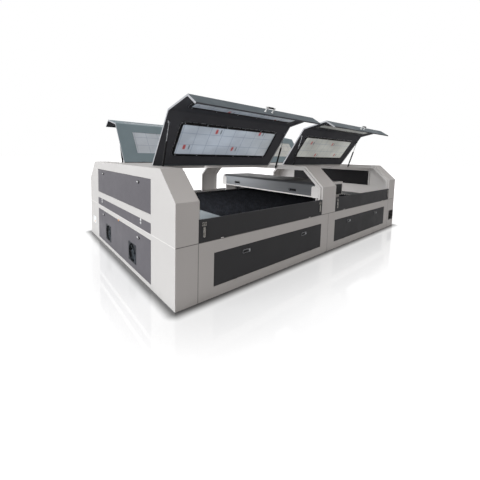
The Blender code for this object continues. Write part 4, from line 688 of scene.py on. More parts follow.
def length_property(name, description, default):
    """A length in metres."""
    return bpy.props.FloatProperty(name=name, description=description, default=default, min=0.0,
                                   unit="LENGTH")


def angle_property(name, description, degrees):
    """An angle, given in degrees."""
    return bpy.props.FloatProperty(name=name, description=description, default=math.radians(degrees),
                                   subtype="ANGLE")


def number_property(name, description, default):
    """A plain number."""
    return bpy.props.FloatProperty(name=name, description=description, default=default, min=0.0)


class LASER_PG_paint(bpy.types.PropertyGroup):
    """Paint"""

    casing: colour_property("Casing", "Cream powder coat of the casing", (0.62, 0.595, 0.58))
    doors: colour_property("Doors and flaps", "Charcoal powder coat of doors and flaps",
                           (0.059, 0.059, 0.062))
    end_panels: colour_property("End panels", "Mid grey powder coat of the end panels", (0.132, 0.124, 0.137))
    # One slate paint, given as a lighter copy as painted light on the back lids and a darker copy as painted
    # shade on the front lids.
    lid_outside: colour_property("Back lid outside", "Slate paint on the outside of the back lids",
                                 (0.245, 0.310, 0.340))
    lid_lip: colour_property("Front lid outside", "Slate paint on the outside of the front lids",
                             (0.116, 0.141, 0.158))
    lid_inside: colour_property("Lid inside", "Dark paint on the inside of the lids", (0.102, 0.104, 0.116))
    # Painted highlight on the edges of the lids.
    lid_edge: colour_property("Lid edge", "Light edge of the folded lids", (0.42, 0.42, 0.44))
    bridge: colour_property("Bridge", "Cream paint of the bridge's ends and fold", (0.80, 0.77, 0.755))
    bridge_face: colour_property("Bridge face", "Slate face of the bridge's cover", (0.325, 0.337, 0.355))
    deck: colour_property("Deck", "Grey of the decks beside the bed", (0.095, 0.110, 0.120))


class LASER_PG_glazing(bpy.types.PropertyGroup):
    """Panes and their frames"""

    film: colour_property("Film", "Protective film on the panes", (0.77, 0.81, 0.86))
    line: colour_property("Grid line", "Fine lines of the grid on the film", (0.34, 0.40, 0.50))
    glow: number_property("Light through", "Share of the light that the film lets through", 0.62)
    pitch_x: length_property("Grid pitch along", "Distance between the lines along the machine", 0.165)
    pitch_y: length_property("Grid pitch up", "Distance between the lines up the film", 0.130)
    line_width: length_property("Line width", "Width of a grid line, without its soft edges", 0.004)
    frame_width: length_property("Frame width", "Width of the frames that hold the panes", 0.026)
    frame_depth: length_property("Frame depth", "Depth of the frames behind the lid's sheet", 0.0086)


class LASER_PG_bed(bpy.types.PropertyGroup):
    """Slats of the bed"""

    pitch: length_property("Slat pitch", "Distance between slats", 0.075)
    thickness: length_property("Slat thickness", "Thickness of a slat", 0.003)
    tooth_pitch: length_property("Tooth pitch", "Distance between the slat's points", 0.040)
    tooth_depth: length_property("Tooth depth", "Height of the slat's points", 0.022)
    colour: colour_property("Slats", "Scorched steel of the slats", (0.0060, 0.0067, 0.0085))


class LASER_PG_fittings(bpy.types.PropertyGroup):
    """Small fittings"""

    handle_grip: length_property("Handle grip", "Radius of the lid handles' grip", 0.0080)
    handle_post: length_property("Handle post", "Radius of the lid handles' posts", 0.0070)
    screw: length_property("Screw", "Radius of the screws in the pane frames", 0.0063)
    pale: colour_property("Pale", "Pale enamel of handles, buttons and rims", (0.72, 0.72, 0.71))
    black: colour_property("Black", "Black enamel and plastic", (0.017, 0.017, 0.018))
    grey: colour_property("Grey", "Blue grey of the fan frames", (0.020, 0.024, 0.030))
    blades: colour_property("Fan blades", "Blue grey plastic of the fan blades", (0.075, 0.090, 0.105))
    bright: colour_property("Bright metal", "Bright zinc and ground steel", (0.60, 0.61, 0.63))
    bronze: colour_property("Yellow zinc", "Yellowish zinc of the latches", (0.44, 0.42, 0.39))
    marker: colour_property("Marker", "Amber of the marker and of the plate's field", (0.75, 0.34, 0.12))


class LASER_PG_stage(bpy.types.PropertyGroup):
    """Floor, light and camera"""

    floor: colour_property("Floor", "Plain pale floor", (0.50, 0.50, 0.505))
    glow_near: number_property("Floor glow near", "Paleness added to the floor beside the machine", 0.50)
    glow_far: number_property("Floor glow far", "Paleness added to the floor far away", 1.0)
    fill: number_property("Fill light", "Strength of the all-round light", 0.46)
    fill_colour: colour_property("Fill colour", "Warmth of the all-round light", (1.0, 0.955, 0.925))
    key: number_property("Key light", "Strength of the light from the fan end", 3.0)
    inner: number_property("Inner light", "Strength of the soft lights inside both bays", 12.0)
    camera_yaw: angle_property("Yaw", "Camera direction, from +Y towards +X", 39.49133885)
    camera_pitch: angle_property("Pitch", "Camera tilt above the horizon", -4.65923026)
    camera_roll: angle_property("Roll", "Camera roll", 1.19363599)
    camera_place: bpy.props.FloatVectorProperty(name="Place", description="Camera position",
                                                default=(-3.03543431, -2.90642217, 1.14937767), size=3,
                                                subtype="TRANSLATION", unit="LENGTH")
    focal_pixels: number_property("Focal length", "Focal length in pixels of the frame", 260.596)
    centre_x: number_property("Centre X", "Optical centre across, in pixels", 225.874)
    centre_y: number_property("Centre Y", "Optical centre down, in pixels", 177.462)


GROUPS = {
    "laser_paint": LASER_PG_paint,
    "laser_glazing": LASER_PG_glazing,
    "laser_bed": LASER_PG_bed,
    "laser_fittings": LASER_PG_fittings,
    "laser_stage": LASER_PG_stage,
}


def assign(material, *names):
    """Gives one material to nodes of the packed model."""
    for name in names:
        slots = NODES[name].data.materials
        slots.clear()
        slots.append(material)


def starting(*stems):
    """Names of the nodes that start with any of the stems."""
    return [name for name in NODES if name.startswith(stems)]


# Operators


class LASER_OT_stage(bpy.types.Operator):
    """Pale floor, soft light and the camera of the front left view"""

    bl_idname = "laser.stage"
    bl_label = "Stage"

    def execute(self, context):
        scene, settings = context.scene, context.scene.laser_stage
        self.add_floor(scene, settings)
        self.add_world(scene, settings)
        self.add_lights(scene, settings)
        self.add_camera(scene, settings)
        scene.view_settings.view_transform = "Standard"
        return {"FINISHED"}

    def add_floor(self, scene, settings):
        """A level disc out to beyond the view: circles of growing radius just below height 0."""
        sides, circles, level = 48, 12, -0.0005
        turn = np.linspace(0.0, math.tau, sides, endpoint=False)
        reach = np.linspace(2.0, 70.0, circles)[:, None]
        rows = [reach * np.cos(turn), reach * np.sin(turn), np.full((circles, sides), level)]
        centre = np.repeat([[0.0, 0.0, level]], sides, axis=0)[None]
        points = np.concatenate([centre, np.stack(rows, axis=-1)]).reshape(-1, 3)
        mesh = bpy.data.meshes.new("floor")
        mesh.from_pydata(points.tolist(), [], grid_faces(circles + 1, sides)[:, ::-1].tolist())
        mesh.materials.append(self.floor_finish(settings))
        floor = bpy.data.objects.new("floor", mesh)
        scene.collection.objects.link(floor)

    def floor_finish(self, settings):
        """Satin floor that mirrors the machine near its foot, with a painted shadow right at its foot, and
        pales away from it.
        """
        shadow_at_foot, mirrored, blurred, paling = (0.008, 0.115), (0.1, 0.9), (0.4, 1.2), (2.4, 4.4)
        finish = Finish("pale_floor")
        beyond = []
        for which, (middle, half) in enumerate(((0.0, HALF_LENGTH), (CENTRE_Y, HALF_DEPTH))):
            offset = finish.maths("SUBTRACT", finish.apart(finish.axis("Object", which), middle), half)
            offset = finish.maths("MAXIMUM", offset, 0.0)
            beyond.append(finish.product(offset, offset))
        away = finish.maths("SQRT", finish.maths("ADD", *beyond))
        # Painted shadow at the machine's foot: the floor's colour and glow fall away there.
        clear = finish.ramp(away, *shadow_at_foot)
        cloud = finish.ramp(finish.noise(0.6, 3.0), 0.3, 0.7)
        tone = finish.mix(cloud, shade(settings.floor, 0.985), shade(settings.floor))
        finish.colour(finish.mix(clear, shade(settings.floor, 0.2), tone))
        finish.surface("Specular IOR Level", finish.ramp(away, *mirrored, 1.0, 0.0))
        finish.surface("Roughness", finish.ramp(away, *blurred, 0.015, 0.4))
        reach = finish.vector("LENGTH", finish.coordinates["Object"], output="Value")
        glow = finish.ramp(reach, *paling, settings.glow_near, settings.glow_far)
        glow = finish.maths("ADD", glow, finish.ramp(away, *mirrored, 0.0, 0.18))
        seen = finish.node("ShaderNodeLightPath").outputs["Is Camera Ray"]
        finish.surface("Emission Color", WHITE)
        finish.surface("Emission Strength", finish.product(glow, seen, clear))
        return finish.material

    def add_world(self, scene, settings):
        """White where it is seen, mirrored or looked at through a pane, and a warm fill for all else."""
        world = bpy.data.worlds.new("studio")
        world.use_nodes = True
        sky = Tree(world.node_tree)
        back = sky.tree.nodes["Background"].inputs
        path = sky.node("ShaderNodeLightPath").outputs
        seen = sky.maths("MAXIMUM", path["Is Camera Ray"], path["Is Transmission Ray"])
        seen = sky.maths("MAXIMUM", seen, path["Is Glossy Ray"])
        sky.connect(sky.ramp(seen, 0.0, 1.0, settings.fill, 1.0), back["Strength"])
        sky.connect(sky.mix(seen, shade(settings.fill_colour), WHITE), back["Color"])
        scene.world = world

    def add_lights(self, scene, settings):
        """A wide sun from the fan end, and a soft lamp under the lids of each bay."""
        toward_sun, sun_colour = Vector((-0.93, 0.10, 0.35)), (0.93, 0.975, 1.0)
        key = bpy.data.lights.new("key", "SUN")
        key.energy = settings.key
        key.angle = math.radians(50.0)
        key.color = sun_colour
        lamp = bpy.data.objects.new("key", key)
        lamp.rotation_euler = toward_sun.to_track_quat("Z", "Y").to_euler()
        scene.collection.objects.link(lamp)
        width, depth, height, tilt = 0.6, 1.5, 0.785, math.radians(-58.0)
        for name, x, share in (("inner_left", -1.45, 1.0), ("inner_right", 1.05, 0.45)):
            soft = bpy.data.lights.new(name, "AREA")
            soft.shape = "RECTANGLE"
            soft.size, soft.size_y = width, depth
            soft.energy = settings.inner * share
            soft.spread = math.radians(110.0)
            lamp = bpy.data.objects.new(name, soft)
            lamp.location = (x, CENTRE_Y, height)
            lamp.rotation_euler = (0.0, tilt, 0.0)
            lamp.visible_camera = False
            lamp.visible_glossy = False
            scene.collection.objects.link(lamp)

    def add_camera(self, scene, settings):
        """The camera's axes from its yaw, pitch and roll, and its lens from a square frame in pixels."""
        frame_pixels = 480.0
        yaw, pitch, roll = settings.camera_yaw, settings.camera_pitch, settings.camera_roll
        forward = Vector((math.sin(yaw) * math.cos(pitch), math.cos(yaw) * math.cos(pitch), math.sin(pitch)))
        level = Vector((math.cos(yaw), -math.sin(yaw), 0.0))
        upright = level.cross(forward)
        right = level * math.cos(roll) + upright * math.sin(roll)
        up = upright * math.cos(roll) - level * math.sin(roll)
        data = bpy.data.cameras.new("camera")
        data.sensor_width = 36.0
        data.lens = settings.focal_pixels / frame_pixels * data.sensor_width
        data.shift_x = (frame_pixels / 2 - settings.centre_x) / frame_pixels
        data.shift_y = (settings.centre_y - frame_pixels / 2) / frame_pixels
        data.clip_end = 200.0
        camera = bpy.data.objects.new("camera", data)
        turn = Matrix((right, up, -forward)).transposed().to_4x4()
        camera.matrix_world = Matrix.Translation(settings.camera_place) @ turn
        scene.collection.objects.link(camera)
        scene.camera = camera


class LASER_OT_casing(bpy.types.Operator):
    """Powder coat on the casing, its doors, flaps and end panels"""

    bl_idname = "laser.casing"
    bl_label = "Casing finish"

    def execute(self, context):
        paint = context.scene.laser_paint
        joints = [bay_of("left")[0], corners_of("base_left")[1][0], corners_of("base_right")[1][0]]
        cream = casing_coat("cream_powder_coat", paint.casing, paint.deck, paint.end_panels, joints)
        charcoal = powder_coat("charcoal_powder_coat", paint.doors, roughness=0.48, specular=DULL_SHEEN)
        mid_grey = panel_coat("grey_powder_coat", paint.end_panels)
        assign(cream, *starting("base_", "end_base", "end_arch", "middle_arch", "top_panel"))
        assign(charcoal, *starting("front_door", "flap_", "scrap_tray"))
        assign(mid_grey, *starting("upper_end_panel", "lower_end_panel"))
        return {"FINISHED"}


class LASER_OT_lids(bpy.types.Operator):
    """Paint of the lids and the filmed panes in them"""

    bl_idname = "laser.lids"
    bl_label = "Lids and panes"

    def execute(self, context):
        paint, glazing = context.scene.laser_paint, context.scene.laser_glazing
        slant_share, back_share = 0.55, 0.45
        panes = (("window", 0.0, 1.0, FILM_MARKS), ("slant_window", SLANT, slant_share, SLANT_FILM_MARKS))
        for place, side in SIDES.items():
            front = side < 0
            # The back lids get the lighter copy of the slate paint as painted light, the front lids the
            # darker copy as painted shade.
            outside = paint.lid_lip if front else paint.lid_outside
            slate = lid_paint(f"lid_powder_coat_{place}", outside, paint.lid_inside, paint.lid_edge, side)
            assign(slate, *starting(f"lid_{place}"))
            opened = Matrix.Rotation(side * LID_OPEN, 3, "X")
            for part, slope, share, marks in panes:
                upward = opened @ Vector((0.0, math.cos(slope), -side * math.sin(slope)))
                glow = glazing.glow * share * (1.0 if front else back_share)
                name = f"filmed_{part}_{place}"
                film = film_sheet(name, glazing, tuple(upward), glow, marks if front else ())
                assign(film, *starting(f"{part}_{place}"))
        return {"FINISHED"}


class LASER_OT_lid_fittings(bpy.types.Operator):
    """Handles on the lids and the frames that hold their panes"""

    bl_idname = "laser.lid_fittings"
    bl_label = "Lid handles and frames"

    def execute(self, context):
        for key, side in lid_keys():
            bay = bay_of(key.split("_")[1])
            opened = opened_lid(key, side)
            self.add_handle(context, key, side, sum(bay) / 2, opened)
            self.add_frames(context, key, side, bay, opened)
        return {"FINISHED"}

    def add_handle(self, context, key, side, middle, opened):
        """A straight grip with rounded ends and a sleeve, on two posts, each on a flanged foot."""
        fittings = context.scene.laser_fittings
        grip, post = fittings.handle_grip, fittings.handle_post
        height, half, reach, spread, sleeve_half = 0.720, 0.0645, 0.045, 0.050, 0.0370
        level = Matrix.Rotation(math.pi / 2, 4, "Y")
        level.translation = (middle, y_at(side, -reach), height)
        bar = [(-half, grip * 0.7), (-half + 0.002, grip), (half - 0.002, grip), (half, grip * 0.7)]
        foot = [(0.0, post + 0.005), (0.002, post + 0.005), (0.004, post + 0.002), (0.007, post),
                (reach, post)]
        spots = [facing((middle + s * spread, y_at(side, 0.0), height), (0, side, 0)) for s in (-1, 1)]
        rest = [placed(lathe(bar, 20), level), *[placed(lathe(foot, 18), spot) for spot in spots]]
        thick = grip + 0.0012
        sleeve = [(-sleeve_half, grip), (-sleeve_half + 0.0005, thick), (sleeve_half - 0.0005, thick),
                  (sleeve_half, grip)]
        sleeve = placed(placed(lathe(sleeve, 20), level), opened)
        pale, black = fitting_finish(context, "pale"), fitting_finish(context, "black")
        body = f"lid_{key}"
        piece(f"lid_handle_{key}", [placed(patch, opened) for patch in rest], pale, body)
        piece(f"handle_sleeve_{key}", [sleeve], black, body)

    def add_frames(self, context, key, side, bay, opened):
        """Folded frames under both panes: an angled section round a rounded outline, with a bright bead
        round it and screws."""
        glazing, screw_radius = context.scene.laser_glazing, context.scene.laser_fittings.screw
        width, depth = glazing.frame_width, glazing.frame_depth
        edge, web, flange, corner = 0.0006, 0.0050, 0.0085, 0.044
        bead, bead_rise, screw_rise, end_gap, row_screws = 0.003, 0.0050, 0.0026, 0.03, 6
        flat_margin, slant_margin, slant_width = 0.400, 0.330, 0.090
        middle, span = sum(bay) / 2, bay[1] - bay[0]
        outward = Vector((0.0, side * math.sin(SLANT), math.cos(SLANT)))
        slant = Vector((middle, y_at(side, TOP_SETBACK / 2), (SHOULDER_Z + TOP_Z) / 2)) - outward * LID_SHEET
        flat = Vector((middle, y_at(side, (WINDOW[0] + WINDOW[1]) / 2), TOP_Z - LID_SHEET))
        windows = ((flat, "down", span - flat_margin, WINDOW[1] - WINDOW[0]),
                   (slant, -outward, span - slant_margin, slant_width))
        rows = [(0.0, 0.0), (0.0, depth - edge), (edge, depth), (width - edge, depth), (width, depth - edge),
                (width, web), (flange, web), (flange, 0.0)]
        frames, beads, heads = [], [], []
        for place, out, across, up in windows:
            spot = opened @ facing(place, out)
            wide, high = across + 2 * width, up + 2 * width
            frames.append(placed(band(outlines(wide, high, corner, rows)), spot))
            rim = ring(wide + 2 * bead, high + 2 * bead, bead, bead_rise, corner + bead)
            beads.append(placed(rim, spot))
            half_u, half_v = (across + width) / 2, (up + width) / 2
            steps = np.linspace(end_gap - half_u, half_u - end_gap, row_screws)
            places = [(u, s * half_v, depth) for u in steps for s in (-1, 1)]
            heads.append(placed(screws(screw_radius, screw_rise, places), spot))
        body = f"lid_{key}"
        piece(f"pane_frames_{key}", frames, fitting_finish(context, "black"), body)
        piece(f"pane_screws_{key}", [*heads, *beads], fitting_finish(context, "bright"), body)


class LASER_OT_fittings(bpy.types.Operator):
    """Locks, latches, buttons, fan frames and the plain plate on the casing"""

    bl_idname = "laser.fittings"
    bl_label = "Locks and latches"

    def execute(self, context):
        for hand in HANDS:
            self.add_door_locks(context, hand)
        for key, side in lid_keys():
            self.add_flap_latches(context, key, side)
        self.add_cam_locks(context)
        self.add_buttons(context)
        self.add_fan_frames(context)
        self.add_plate(context)
        self.add_vent_frame(context)
        return {"FINISHED"}

    def add_door_locks(self, context, hand):
        """Two paddle locks: a raised rim, the paddle in it and a round key barrel."""
        from_middle, height, door_proud, barrel_u = 0.438, 0.313, 0.006, 0.032
        low, high = corners_of(f"front_door_{hand}")
        middle, y = (low[0] + high[0]) / 2, y_at(-1, -door_proud)
        spots = [facing((middle + s * from_middle, y, height), "front") for s in (-1, 1)]
        rim = ring(0.092, 0.030, 0.0022, 0.0014, 0.006)
        paddle = block((-0.042, -0.0115, 0.0), (0.020, 0.0115, 0.0025), 0.0011)
        profile = [(0.0, 0.0085), (0.0018, 0.0085), (0.0025, 0.0072), (0.0025, 0.0040), (0.0012, 0.0036)]
        barrel = lathe(profile, 16)
        rims = [placed(rim, spot) for spot in spots]
        paddles = [placed(paddle, spot) for spot in spots]
        barrels = [placed(barrel, spot @ Matrix.Translation((barrel_u, 0.0, 0.0))) for spot in spots]
        bright, black = fitting_finish(context, "bright"), fitting_finish(context, "black")
        body = f"door_{hand}"
        piece(f"door_lock_rims_{hand}", [*rims, *barrels], bright, body)
        piece(f"door_lock_paddles_{hand}", paddles, black, body)

    def add_flap_latches(self, context, key, side):
        """Flat toggle latches: keeper rim and hook, lever, wire loop and knob, which clear the casing when
        the flap hangs down."""
        inset, keeper_z, lever_z, knob_v = 0.050, 0.6245, 0.5605, -0.036
        loop = rounded_path([(-0.006, 0.020, 0.0006), (-0.006, 0.044, 0.0006), (0.006, 0.044, 0.0006),
                             (0.006, 0.020, 0.0006)], 0.005)
        at_keeper = [ring(0.042, 0.029, 0.005, 0.0020, 0.003),
                     block((-0.011, -0.004, 0.0), (0.011, 0.004, 0.0046), 0.0012),
                     screws(0.0028, 0.0018, [(-0.0160, 0.0095), (0.0160, 0.0095)])]
        at_lever = [plate(0.022, 0.078, 0.0008, 0.006),
                    block((-0.0055, -0.030, 0.0), (0.0055, 0.024, 0.0016), 0.0006),
                    wire(loop, (0.0, 0.0, 1.0), 0.0010)]
        knob = lathe([(0.0, 0.0065), (0.0010, 0.0065), (0.0017, 0.0055)], 14)
        bay = bay_of(key.split("_")[1])
        parts = []
        for x in (bay[0] + inset, bay[1] - inset):
            keeper = facing((x, y_at(side, -0.0035), keeper_z), (0, side, 0))
            lever = facing((x, y_at(side, -0.007), lever_z), (0, side, 0))
            parts += [placed(patch, keeper) for patch in at_keeper]
            parts += [placed(patch, lever) for patch in at_lever]
            parts.append(placed(knob, lever @ Matrix.Translation((0.0, knob_v, 0.0))))
        resting = resting_flap(key, side)
        parts = [placed(part, resting) for part in parts]
        piece(f"flap_latches_{key}", parts, fitting_finish(context, "bronze"), f"flap_{key}")

    def add_cam_locks(self, context):
        """Round black caps over the cam locks of the end panels, each with a wing in it and a catch beside
        it, both pale."""
        below_top, share_of_width = 0.045, 0.69
        cap = lathe([(0.0, 0.0135), (0.0048, 0.0135), (0.0060, 0.0120), (0.0060, 0.0040)], 20)
        catch = block((-0.050, -0.0050, 0.0), (-0.016, 0.0050, 0.0040), 0.0016)
        wing = block((-0.009, -0.0022, 0.0055), (0.009, 0.0022, 0.0090), 0.0012)
        caps, wings = [], []
        for name in starting("upper_end_panel", "lower_end_panel"):
            low, high = corners_of(name)
            end = "left" if name.endswith("left") else "right"
            x = -HALF_LENGTH if end == "left" else HALF_LENGTH
            middle, reach = (low[1] + high[1]) / 2, (high[1] - low[1]) / 2 * share_of_width
            for s in (-1, 1):
                spot = facing((x, middle + s * reach, high[2] - below_top), end)
                caps.append(placed(cap, spot))
                wings += [placed(catch, spot), placed(wing, spot)]
        piece("cam_lock_caps", caps, fitting_finish(context, "black"), "casing")
        piece("cam_lock_wings", wings, fitting_finish(context, "pale"), "casing")

    def add_buttons(self, context):
        """Pale domes in pairs on the strip across each end, and an amber marker below one strip."""
        strip_proud, marker_y, marker_z = 0.0015, -0.004, 0.4265
        places = [(y, z) for y in (-0.640, 0.645) for z in (0.562, 0.534)]
        profile = [(0.0, 0.0130), (0.0020, 0.0130), (0.0022, 0.0105), (0.0050, 0.0095), (0.0062, 0.0060)]
        dome = lathe(profile, 16)
        domes = [placed(dome, facing((sign * (HALF_LENGTH + strip_proud), y, z), end))
                 for end, sign in (("left", -1), ("right", 1)) for y, z in places]
        piece("end_buttons", domes, fitting_finish(context, "pale"), "casing")
        marker = lathe([(0.0, 0.0110), (0.0040, 0.0105), (0.0065, 0.0070)], 16)
        marker = placed(marker, facing((-HALF_LENGTH, marker_y, marker_z), "left"))
        piece("end_marker", [marker], fitting_finish(context, "marker"), "casing")

    def add_fan_frames(self, context):
        """Square fan frames with a round opening and a wire guard in each."""
        opening, sheet, wire_radius = 0.0900, 0.0022, 0.0011
        corners = [(u * 0.088, v * 0.082, 0.0020) for u in (-1, 1) for v in (-1, 1)]
        square = [bezel(0.202, 0.190, opening, sheet, 0.0060), screws(0.0042, 0.0020, corners)]
        guard = [hoop(radius, wire_radius, 0.0005) for radius in (0.024, 0.046, 0.068, 0.088)]
        for half in ((opening, 0.0012, 0.0012), (0.0012, opening, 0.0012)):
            guard.append(block(-np.array(half), np.array(half), 0.0006))
        spots = [facing((-HALF_LENGTH, CENTRE_Y + s * FAN_FROM_CENTRE, FAN_Z), "left") for s in (-1, 1)]
        frames = [placed(patch, spot) for spot in spots for patch in square]
        guards = [placed(patch, spot) for spot in spots for patch in guard]
        piece("fan_frames", frames, fitting_finish(context, "grey"), "casing")
        piece("fan_guards", guards, fitting_finish(context, "black"), "casing")

    def add_plate(self, context):
        """A plain white plate on the fan end, with one amber field and four rivets."""
        y, z, thickness, corner = 1.058, 0.2255, 0.0012, 0.006
        field_y, field_z = (1.030, 1.062), (0.190, 0.218)
        grey_white, white = (0.80, 0.80, 0.80, 1.0), (0.90, 0.90, 0.90, 1.0)
        spot = facing((-HALF_LENGTH, y, z), "left")
        finish = Finish("white_plate", roughness=0.35)
        along, level = finish.axis("Object", 1), finish.axis("Object", 2)
        field = finish.product(finish.between(along, *field_y), finish.between(level, *field_z))
        tone = finish.mix(finish.ramp(finish.noise(12.0, 4.0), 0.3, 0.7), grey_white, white)
        marker = shade(context.scene.laser_fittings.marker)
        finish.colour(finish.mix(finish.product(field, 0.8), tone, marker))
        sheet = placed(plate(0.156, 0.095, thickness, corner), spot)
        piece("plain_plate", [sheet], finish.material, "casing")
        rivets = screws(0.0028, 0.0014, [(u * 0.072, v * 0.041, 0.0010) for u in (-1, 1) for v in (-1, 1)])
        piece("plate_rivets", [placed(rivets, spot)], fitting_finish(context, "bright"), "casing")

    def add_vent_frame(self, context):
        """A black frame round the vent at the foot of the plain end."""
        spot = facing((sum(VENT_X) / 2, y_at(-1, 0.0), sum(VENT_Z) / 2), "front")
        corners = [(u * 0.089, v * 0.0735, 0.0020) for u in (-1, 1) for v in (-1, 1)]
        parts = [ring(0.190, 0.159, 0.0075, 0.0024, 0.004), screws(0.0030, 0.0016, corners)]
        parts = [placed(part, spot) for part in parts]
        piece("vent_frame", parts, fitting_finish(context, "black"), "casing")


class LASER_OT_bridge(bpy.types.Operator):
    """Paint and metal of the travelling bridge, its drive and the rails"""

    bl_idname = "laser.bridge"
    bl_label = "Bridge and rails"

    def execute(self, context):
        paint, fittings = context.scene.laser_paint, context.scene.laser_fittings
        assign(bridge_coat("bridge_powder_coat", paint.bridge, paint.bridge_face), "gantry_cover")
        assign(powder_coat("beam_powder_coat", paint.bridge, roughness=0.4), "gantry_beam")
        assign(rail_steel("rail_steel", fittings.bright, fittings.black), *starting("guide_rail"))
        assign(ground_steel("turned_steel_across", fittings.bright, (1.0, 0.05, 1.0)), "drive_shaft")
        assign(moulded("motor_enamel", fittings.black, roughness=0.35), "drive_motor", "head_carriage")
        assign(moulded("fan_plastic", fittings.blades), *starting("fan_impeller"))
        self.add_trim(context)
        return {"FINISHED"}

    def add_trim(self, context):
        """Rounded end caps, rims and a pale foot on the cover's face, and a framed dark panel at each end."""
        panel_x, panel_inset, panel_z = 0.452, 0.256, 0.703
        slot_y, slot_z, cap_y, cap_z = 0.6, 0.682, 0.967, 0.6885
        low, high = corners_of("gantry_cover")
        black, pale = fitting_finish(context, "black"), fitting_finish(context, "pale")
        slot, cap = ring(0.128, 0.036, 0.0065, 0.0022, 0.006), plate(0.110, 0.158, 0.0024, 0.026)
        panel, rim = plate(0.606, 0.150, 0.0034, 0.016), ring(0.622, 0.166, 0.0090, 0.0050, 0.022)
        slots, panels, rims, caps = [], [], [], []
        for s in (-1, 1):
            end = facing((panel_x, y_at(s, panel_inset), panel_z), (0, s, 0))
            panels.append(placed(panel, end))
            rims.append(placed(rim, end))
            slots.append(placed(slot, facing((low[0], CENTRE_Y + s * slot_y, slot_z), "left")))
            caps.append(placed(cap, facing((low[0], CENTRE_Y + s * cap_y, cap_z), "left")))
        cream = powder_coat("cap_powder_coat", context.scene.laser_paint.bridge, roughness=0.4)
        foot = block((low[0] - 0.0016, low[1] + 0.03, low[2] - 0.001),
                     (low[0] + 0.006, high[1] - 0.03, low[2] + 0.010), 0.0007)
        piece("bridge_slot_rims", slots, black, "gantry")
        piece("bridge_end_panels", panels, black, "gantry")
        piece("bridge_end_rims", rims, pale, "gantry")
        piece("bridge_end_caps", [*caps, foot], cream, "gantry")


class LASER_OT_bed(bpy.types.Operator):
    """Serrated slats and the frame that holds them, in place of the plain bed"""

    bl_idname = "laser.bed"
    bl_label = "Slat bed"

    def execute(self, context):
        bed = context.scene.laser_bed
        low, high = corners_of("slat_bed")
        end_gap, bar, bar_height, edge = 0.02, 0.005, 0.06, 0.0008
        count = int((high[0] - low[0] - end_gap) // bed.pitch)
        places = (low[0] + high[0]) / 2 + (np.arange(count) - (count - 1) / 2) * bed.pitch
        slats = repeated(self.slat(low, high, bed), [(x, 0.0, 0.0) for x in places])
        top = low[2] + bar_height
        bars = [block((low[0], y, low[2]), (high[0], y + s * bar, top), edge)
                for y, s in ((low[1], 1), (high[1], -1))]
        bars += [block((x, low[1], low[2]), (x + s * bar, high[1], top), edge)
                 for x, s in ((low[0], 1), (high[0], -1))]
        soot = scorched_steel("scorched_steel", bed.colour)
        item = piece("slat_bed_detail", [slats, *bars], soot, "casing")
        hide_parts("slat_bed")
        return {"FINISHED"}

    def slat(self, low, high, bed):
        """One slat about x = 0: its top edge rises and falls as a triangle wave along the bed, and each place
        along it is a four-sided section from the foot to that height."""
        end_gap, foot_height = 0.003, 0.030
        teeth = int((high[1] - low[1] - 0.01) // bed.tooth_pitch)
        along = np.linspace(low[1] + end_gap, high[1] - end_gap, 2 * teeth + 1)
        top = high[2] - bed.tooth_depth * (np.arange(2 * teeth + 1) % 2)
        foot = np.full_like(along, low[2] + foot_height)
        half = bed.thickness / 2
        corners = [(-half, foot), (half, foot), (half, top), (-half, top)]
        rows = [np.stack([np.full_like(along, x), along, z], axis=-1) for x, z in corners]
        return tube(np.stack(rows, axis=1))


class LASER_OT_struts(bpy.types.Operator):
    """Gas struts with turned cylinders, end caps and bright rods"""

    bl_idname = "laser.struts"
    bl_label = "Gas struts"

    def execute(self, context):
        fittings = context.scene.laser_fittings
        black = moulded("strut_enamel", fittings.black, roughness=0.3)
        bright = ground_steel("strut_chrome", fittings.bright, roughness=0.14)
        for key, _ in lid_keys():
            for end in "ab":
                self.dress(f"strut_cylinder_{key}_{end}", f"strut_rod_{key}_{end}", black, bright)
        return {"FINISHED"}

    def dress(self, cylinder, rod, black, bright):
        """A turned cylinder and rod along the line from the lower pivot to the upper, with an eye at each."""
        pivot = Vector(joint_point(f"{cylinder}_turn"))
        along = Vector(JOINTS[f"{rod}_slide"]["axis"])
        place = Matrix.Translation(pivot) @ Matrix.Rotation(math.atan2(-along.y, along.z), 4, "X")
        eye_radius, rod_radius, collar = 0.009, 0.0040, 0.0062
        upper = (corners_of(rod)[1][2] - eye_radius - pivot.z) / along.z
        profile = [(0.0075, 0.0072), (0.011, 0.0104), (0.015, 0.0110), (0.278, 0.0110), (0.283, 0.0106),
                   (0.2845, 0.0094), (0.2900, 0.0090), (0.2902, 0.0048), (0.1150, 0.0045)]
        patches = [placed(patch, place) for patch in (lathe(profile, 24), self.eye(0.0))]
        item = piece(f"{cylinder}_detail", patches, black, cylinder)
        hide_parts(cylinder)
        profile = [(0.262, rod_radius), (upper - 0.016, rod_radius), (upper - 0.015, collar),
                   (upper - 0.0095, collar)]
        patches = [placed(patch, place) for patch in (lathe(profile, 20), self.eye(upper))]
        item = piece(f"{rod}_detail", patches, bright, rod)
        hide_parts(rod)

    def eye(self, height):
        """A flat ring about X: an outer circle and the pin hole inside it, each at both faces."""
        section = [(-0.0046, 0.0046), (-0.0046, 0.0082), (-0.0040, 0.0088), (0.0040, 0.0088),
                   (0.0046, 0.0082), (0.0046, 0.0046)]
        turn = np.linspace(0.0, math.tau, 28, endpoint=False)
        rows = [np.stack([np.full_like(turn, x), radius * np.sin(turn), height + radius * np.cos(turn)], -1)
                for x, radius in section]
        return band(np.stack(rows))


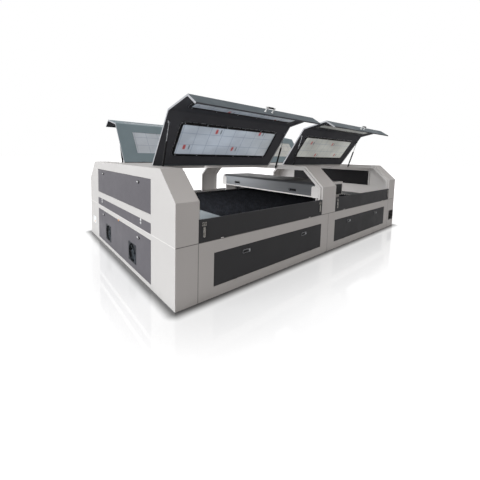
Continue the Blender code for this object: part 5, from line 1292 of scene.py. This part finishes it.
class LASER_OT_head(bpy.types.Operator):
    """Cutting head with its lens barrel, cone and nozzle"""

    bl_idname = "laser.head"
    bl_label = "Cutting head"

    def execute(self, context):
        low, high = corners_of("cutting_head")
        foot, top = low[2], high[2]
        shoulder, brow, half_wide = foot + 0.056, top - 0.030, 0.035
        profile = [(foot, 0.0012), (foot, 0.0060), (foot + 0.012, 0.0085), (foot + 0.014, 0.0110),
                   (foot + 0.038, 0.0200), (foot + 0.040, 0.0262), (foot + 0.058, 0.0262),
                   (foot + 0.060, 0.0240), (top - 0.032, 0.0240), (top - 0.030, 0.0175),
                   (top - 0.012, 0.0175), (top - 0.010, 0.0120), (top, 0.0120)]
        x, y = ((low + high) / 2)[:2]
        barrel = repeated(lathe(profile, 36), [(x, y, 0.0)])
        body = block((low[0], y - half_wide, shoulder), (high[0], y + half_wide, brow), 0.005)
        guides = [block((low[0], y + s * 0.0315, shoulder), (low[0] + 0.014, y + s * 0.0497, brow), 0.0015)
                  for s in (-1, 1)]
        bright = ground_steel("head_metal", context.scene.laser_fittings.bright, roughness=0.3)
        item = piece("cutting_head_detail", [barrel, body, *guides], bright, "head")
        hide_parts("cutting_head")
        return {"FINISHED"}


class LASER_PT_panel(bpy.types.Panel):
    """Sidebar panel with the machine's settings and steps"""

    bl_idname = "LASER_PT_panel"
    bl_label = "Laser cutter"
    bl_space_type = "VIEW_3D"
    bl_region_type = "UI"
    bl_category = "Laser cutter"

    def draw(self, context):
        for operator in OPERATORS:
            self.layout.operator(operator.bl_idname)
        for name, group in GROUPS.items():
            box = self.layout.box()
            box.label(text=group.__doc__)
            for key in group.__annotations__:
                box.prop(getattr(context.scene, name), key)


OPERATORS = (LASER_OT_stage, LASER_OT_casing, LASER_OT_lids, LASER_OT_lid_fittings, LASER_OT_fittings,
             LASER_OT_bridge, LASER_OT_bed, LASER_OT_struts, LASER_OT_head)
CLASSES = (*GROUPS.values(), *OPERATORS, LASER_PT_panel)


def register():
    """Registers the classes and hangs the settings on the scene."""
    for item in CLASSES:
        bpy.utils.register_class(item)
    for name, group in GROUPS.items():
        setattr(bpy.types.Scene, name, bpy.props.PointerProperty(type=group))


def unregister():
    """Takes back what register did."""
    for name in GROUPS:
        delattr(bpy.types.Scene, name)
    for item in reversed(CLASSES):
        bpy.utils.unregister_class(item)


def main():
    """Runs every step in order."""
    register()
    bpy.ops.laser.stage()
    bpy.ops.laser.casing()
    bpy.ops.laser.lids()
    bpy.ops.laser.lid_fittings()
    bpy.ops.laser.fittings()
    bpy.ops.laser.bridge()
    bpy.ops.laser.bed()
    bpy.ops.laser.struts()
    bpy.ops.laser.head()


if __name__ == "__main__":
    main()
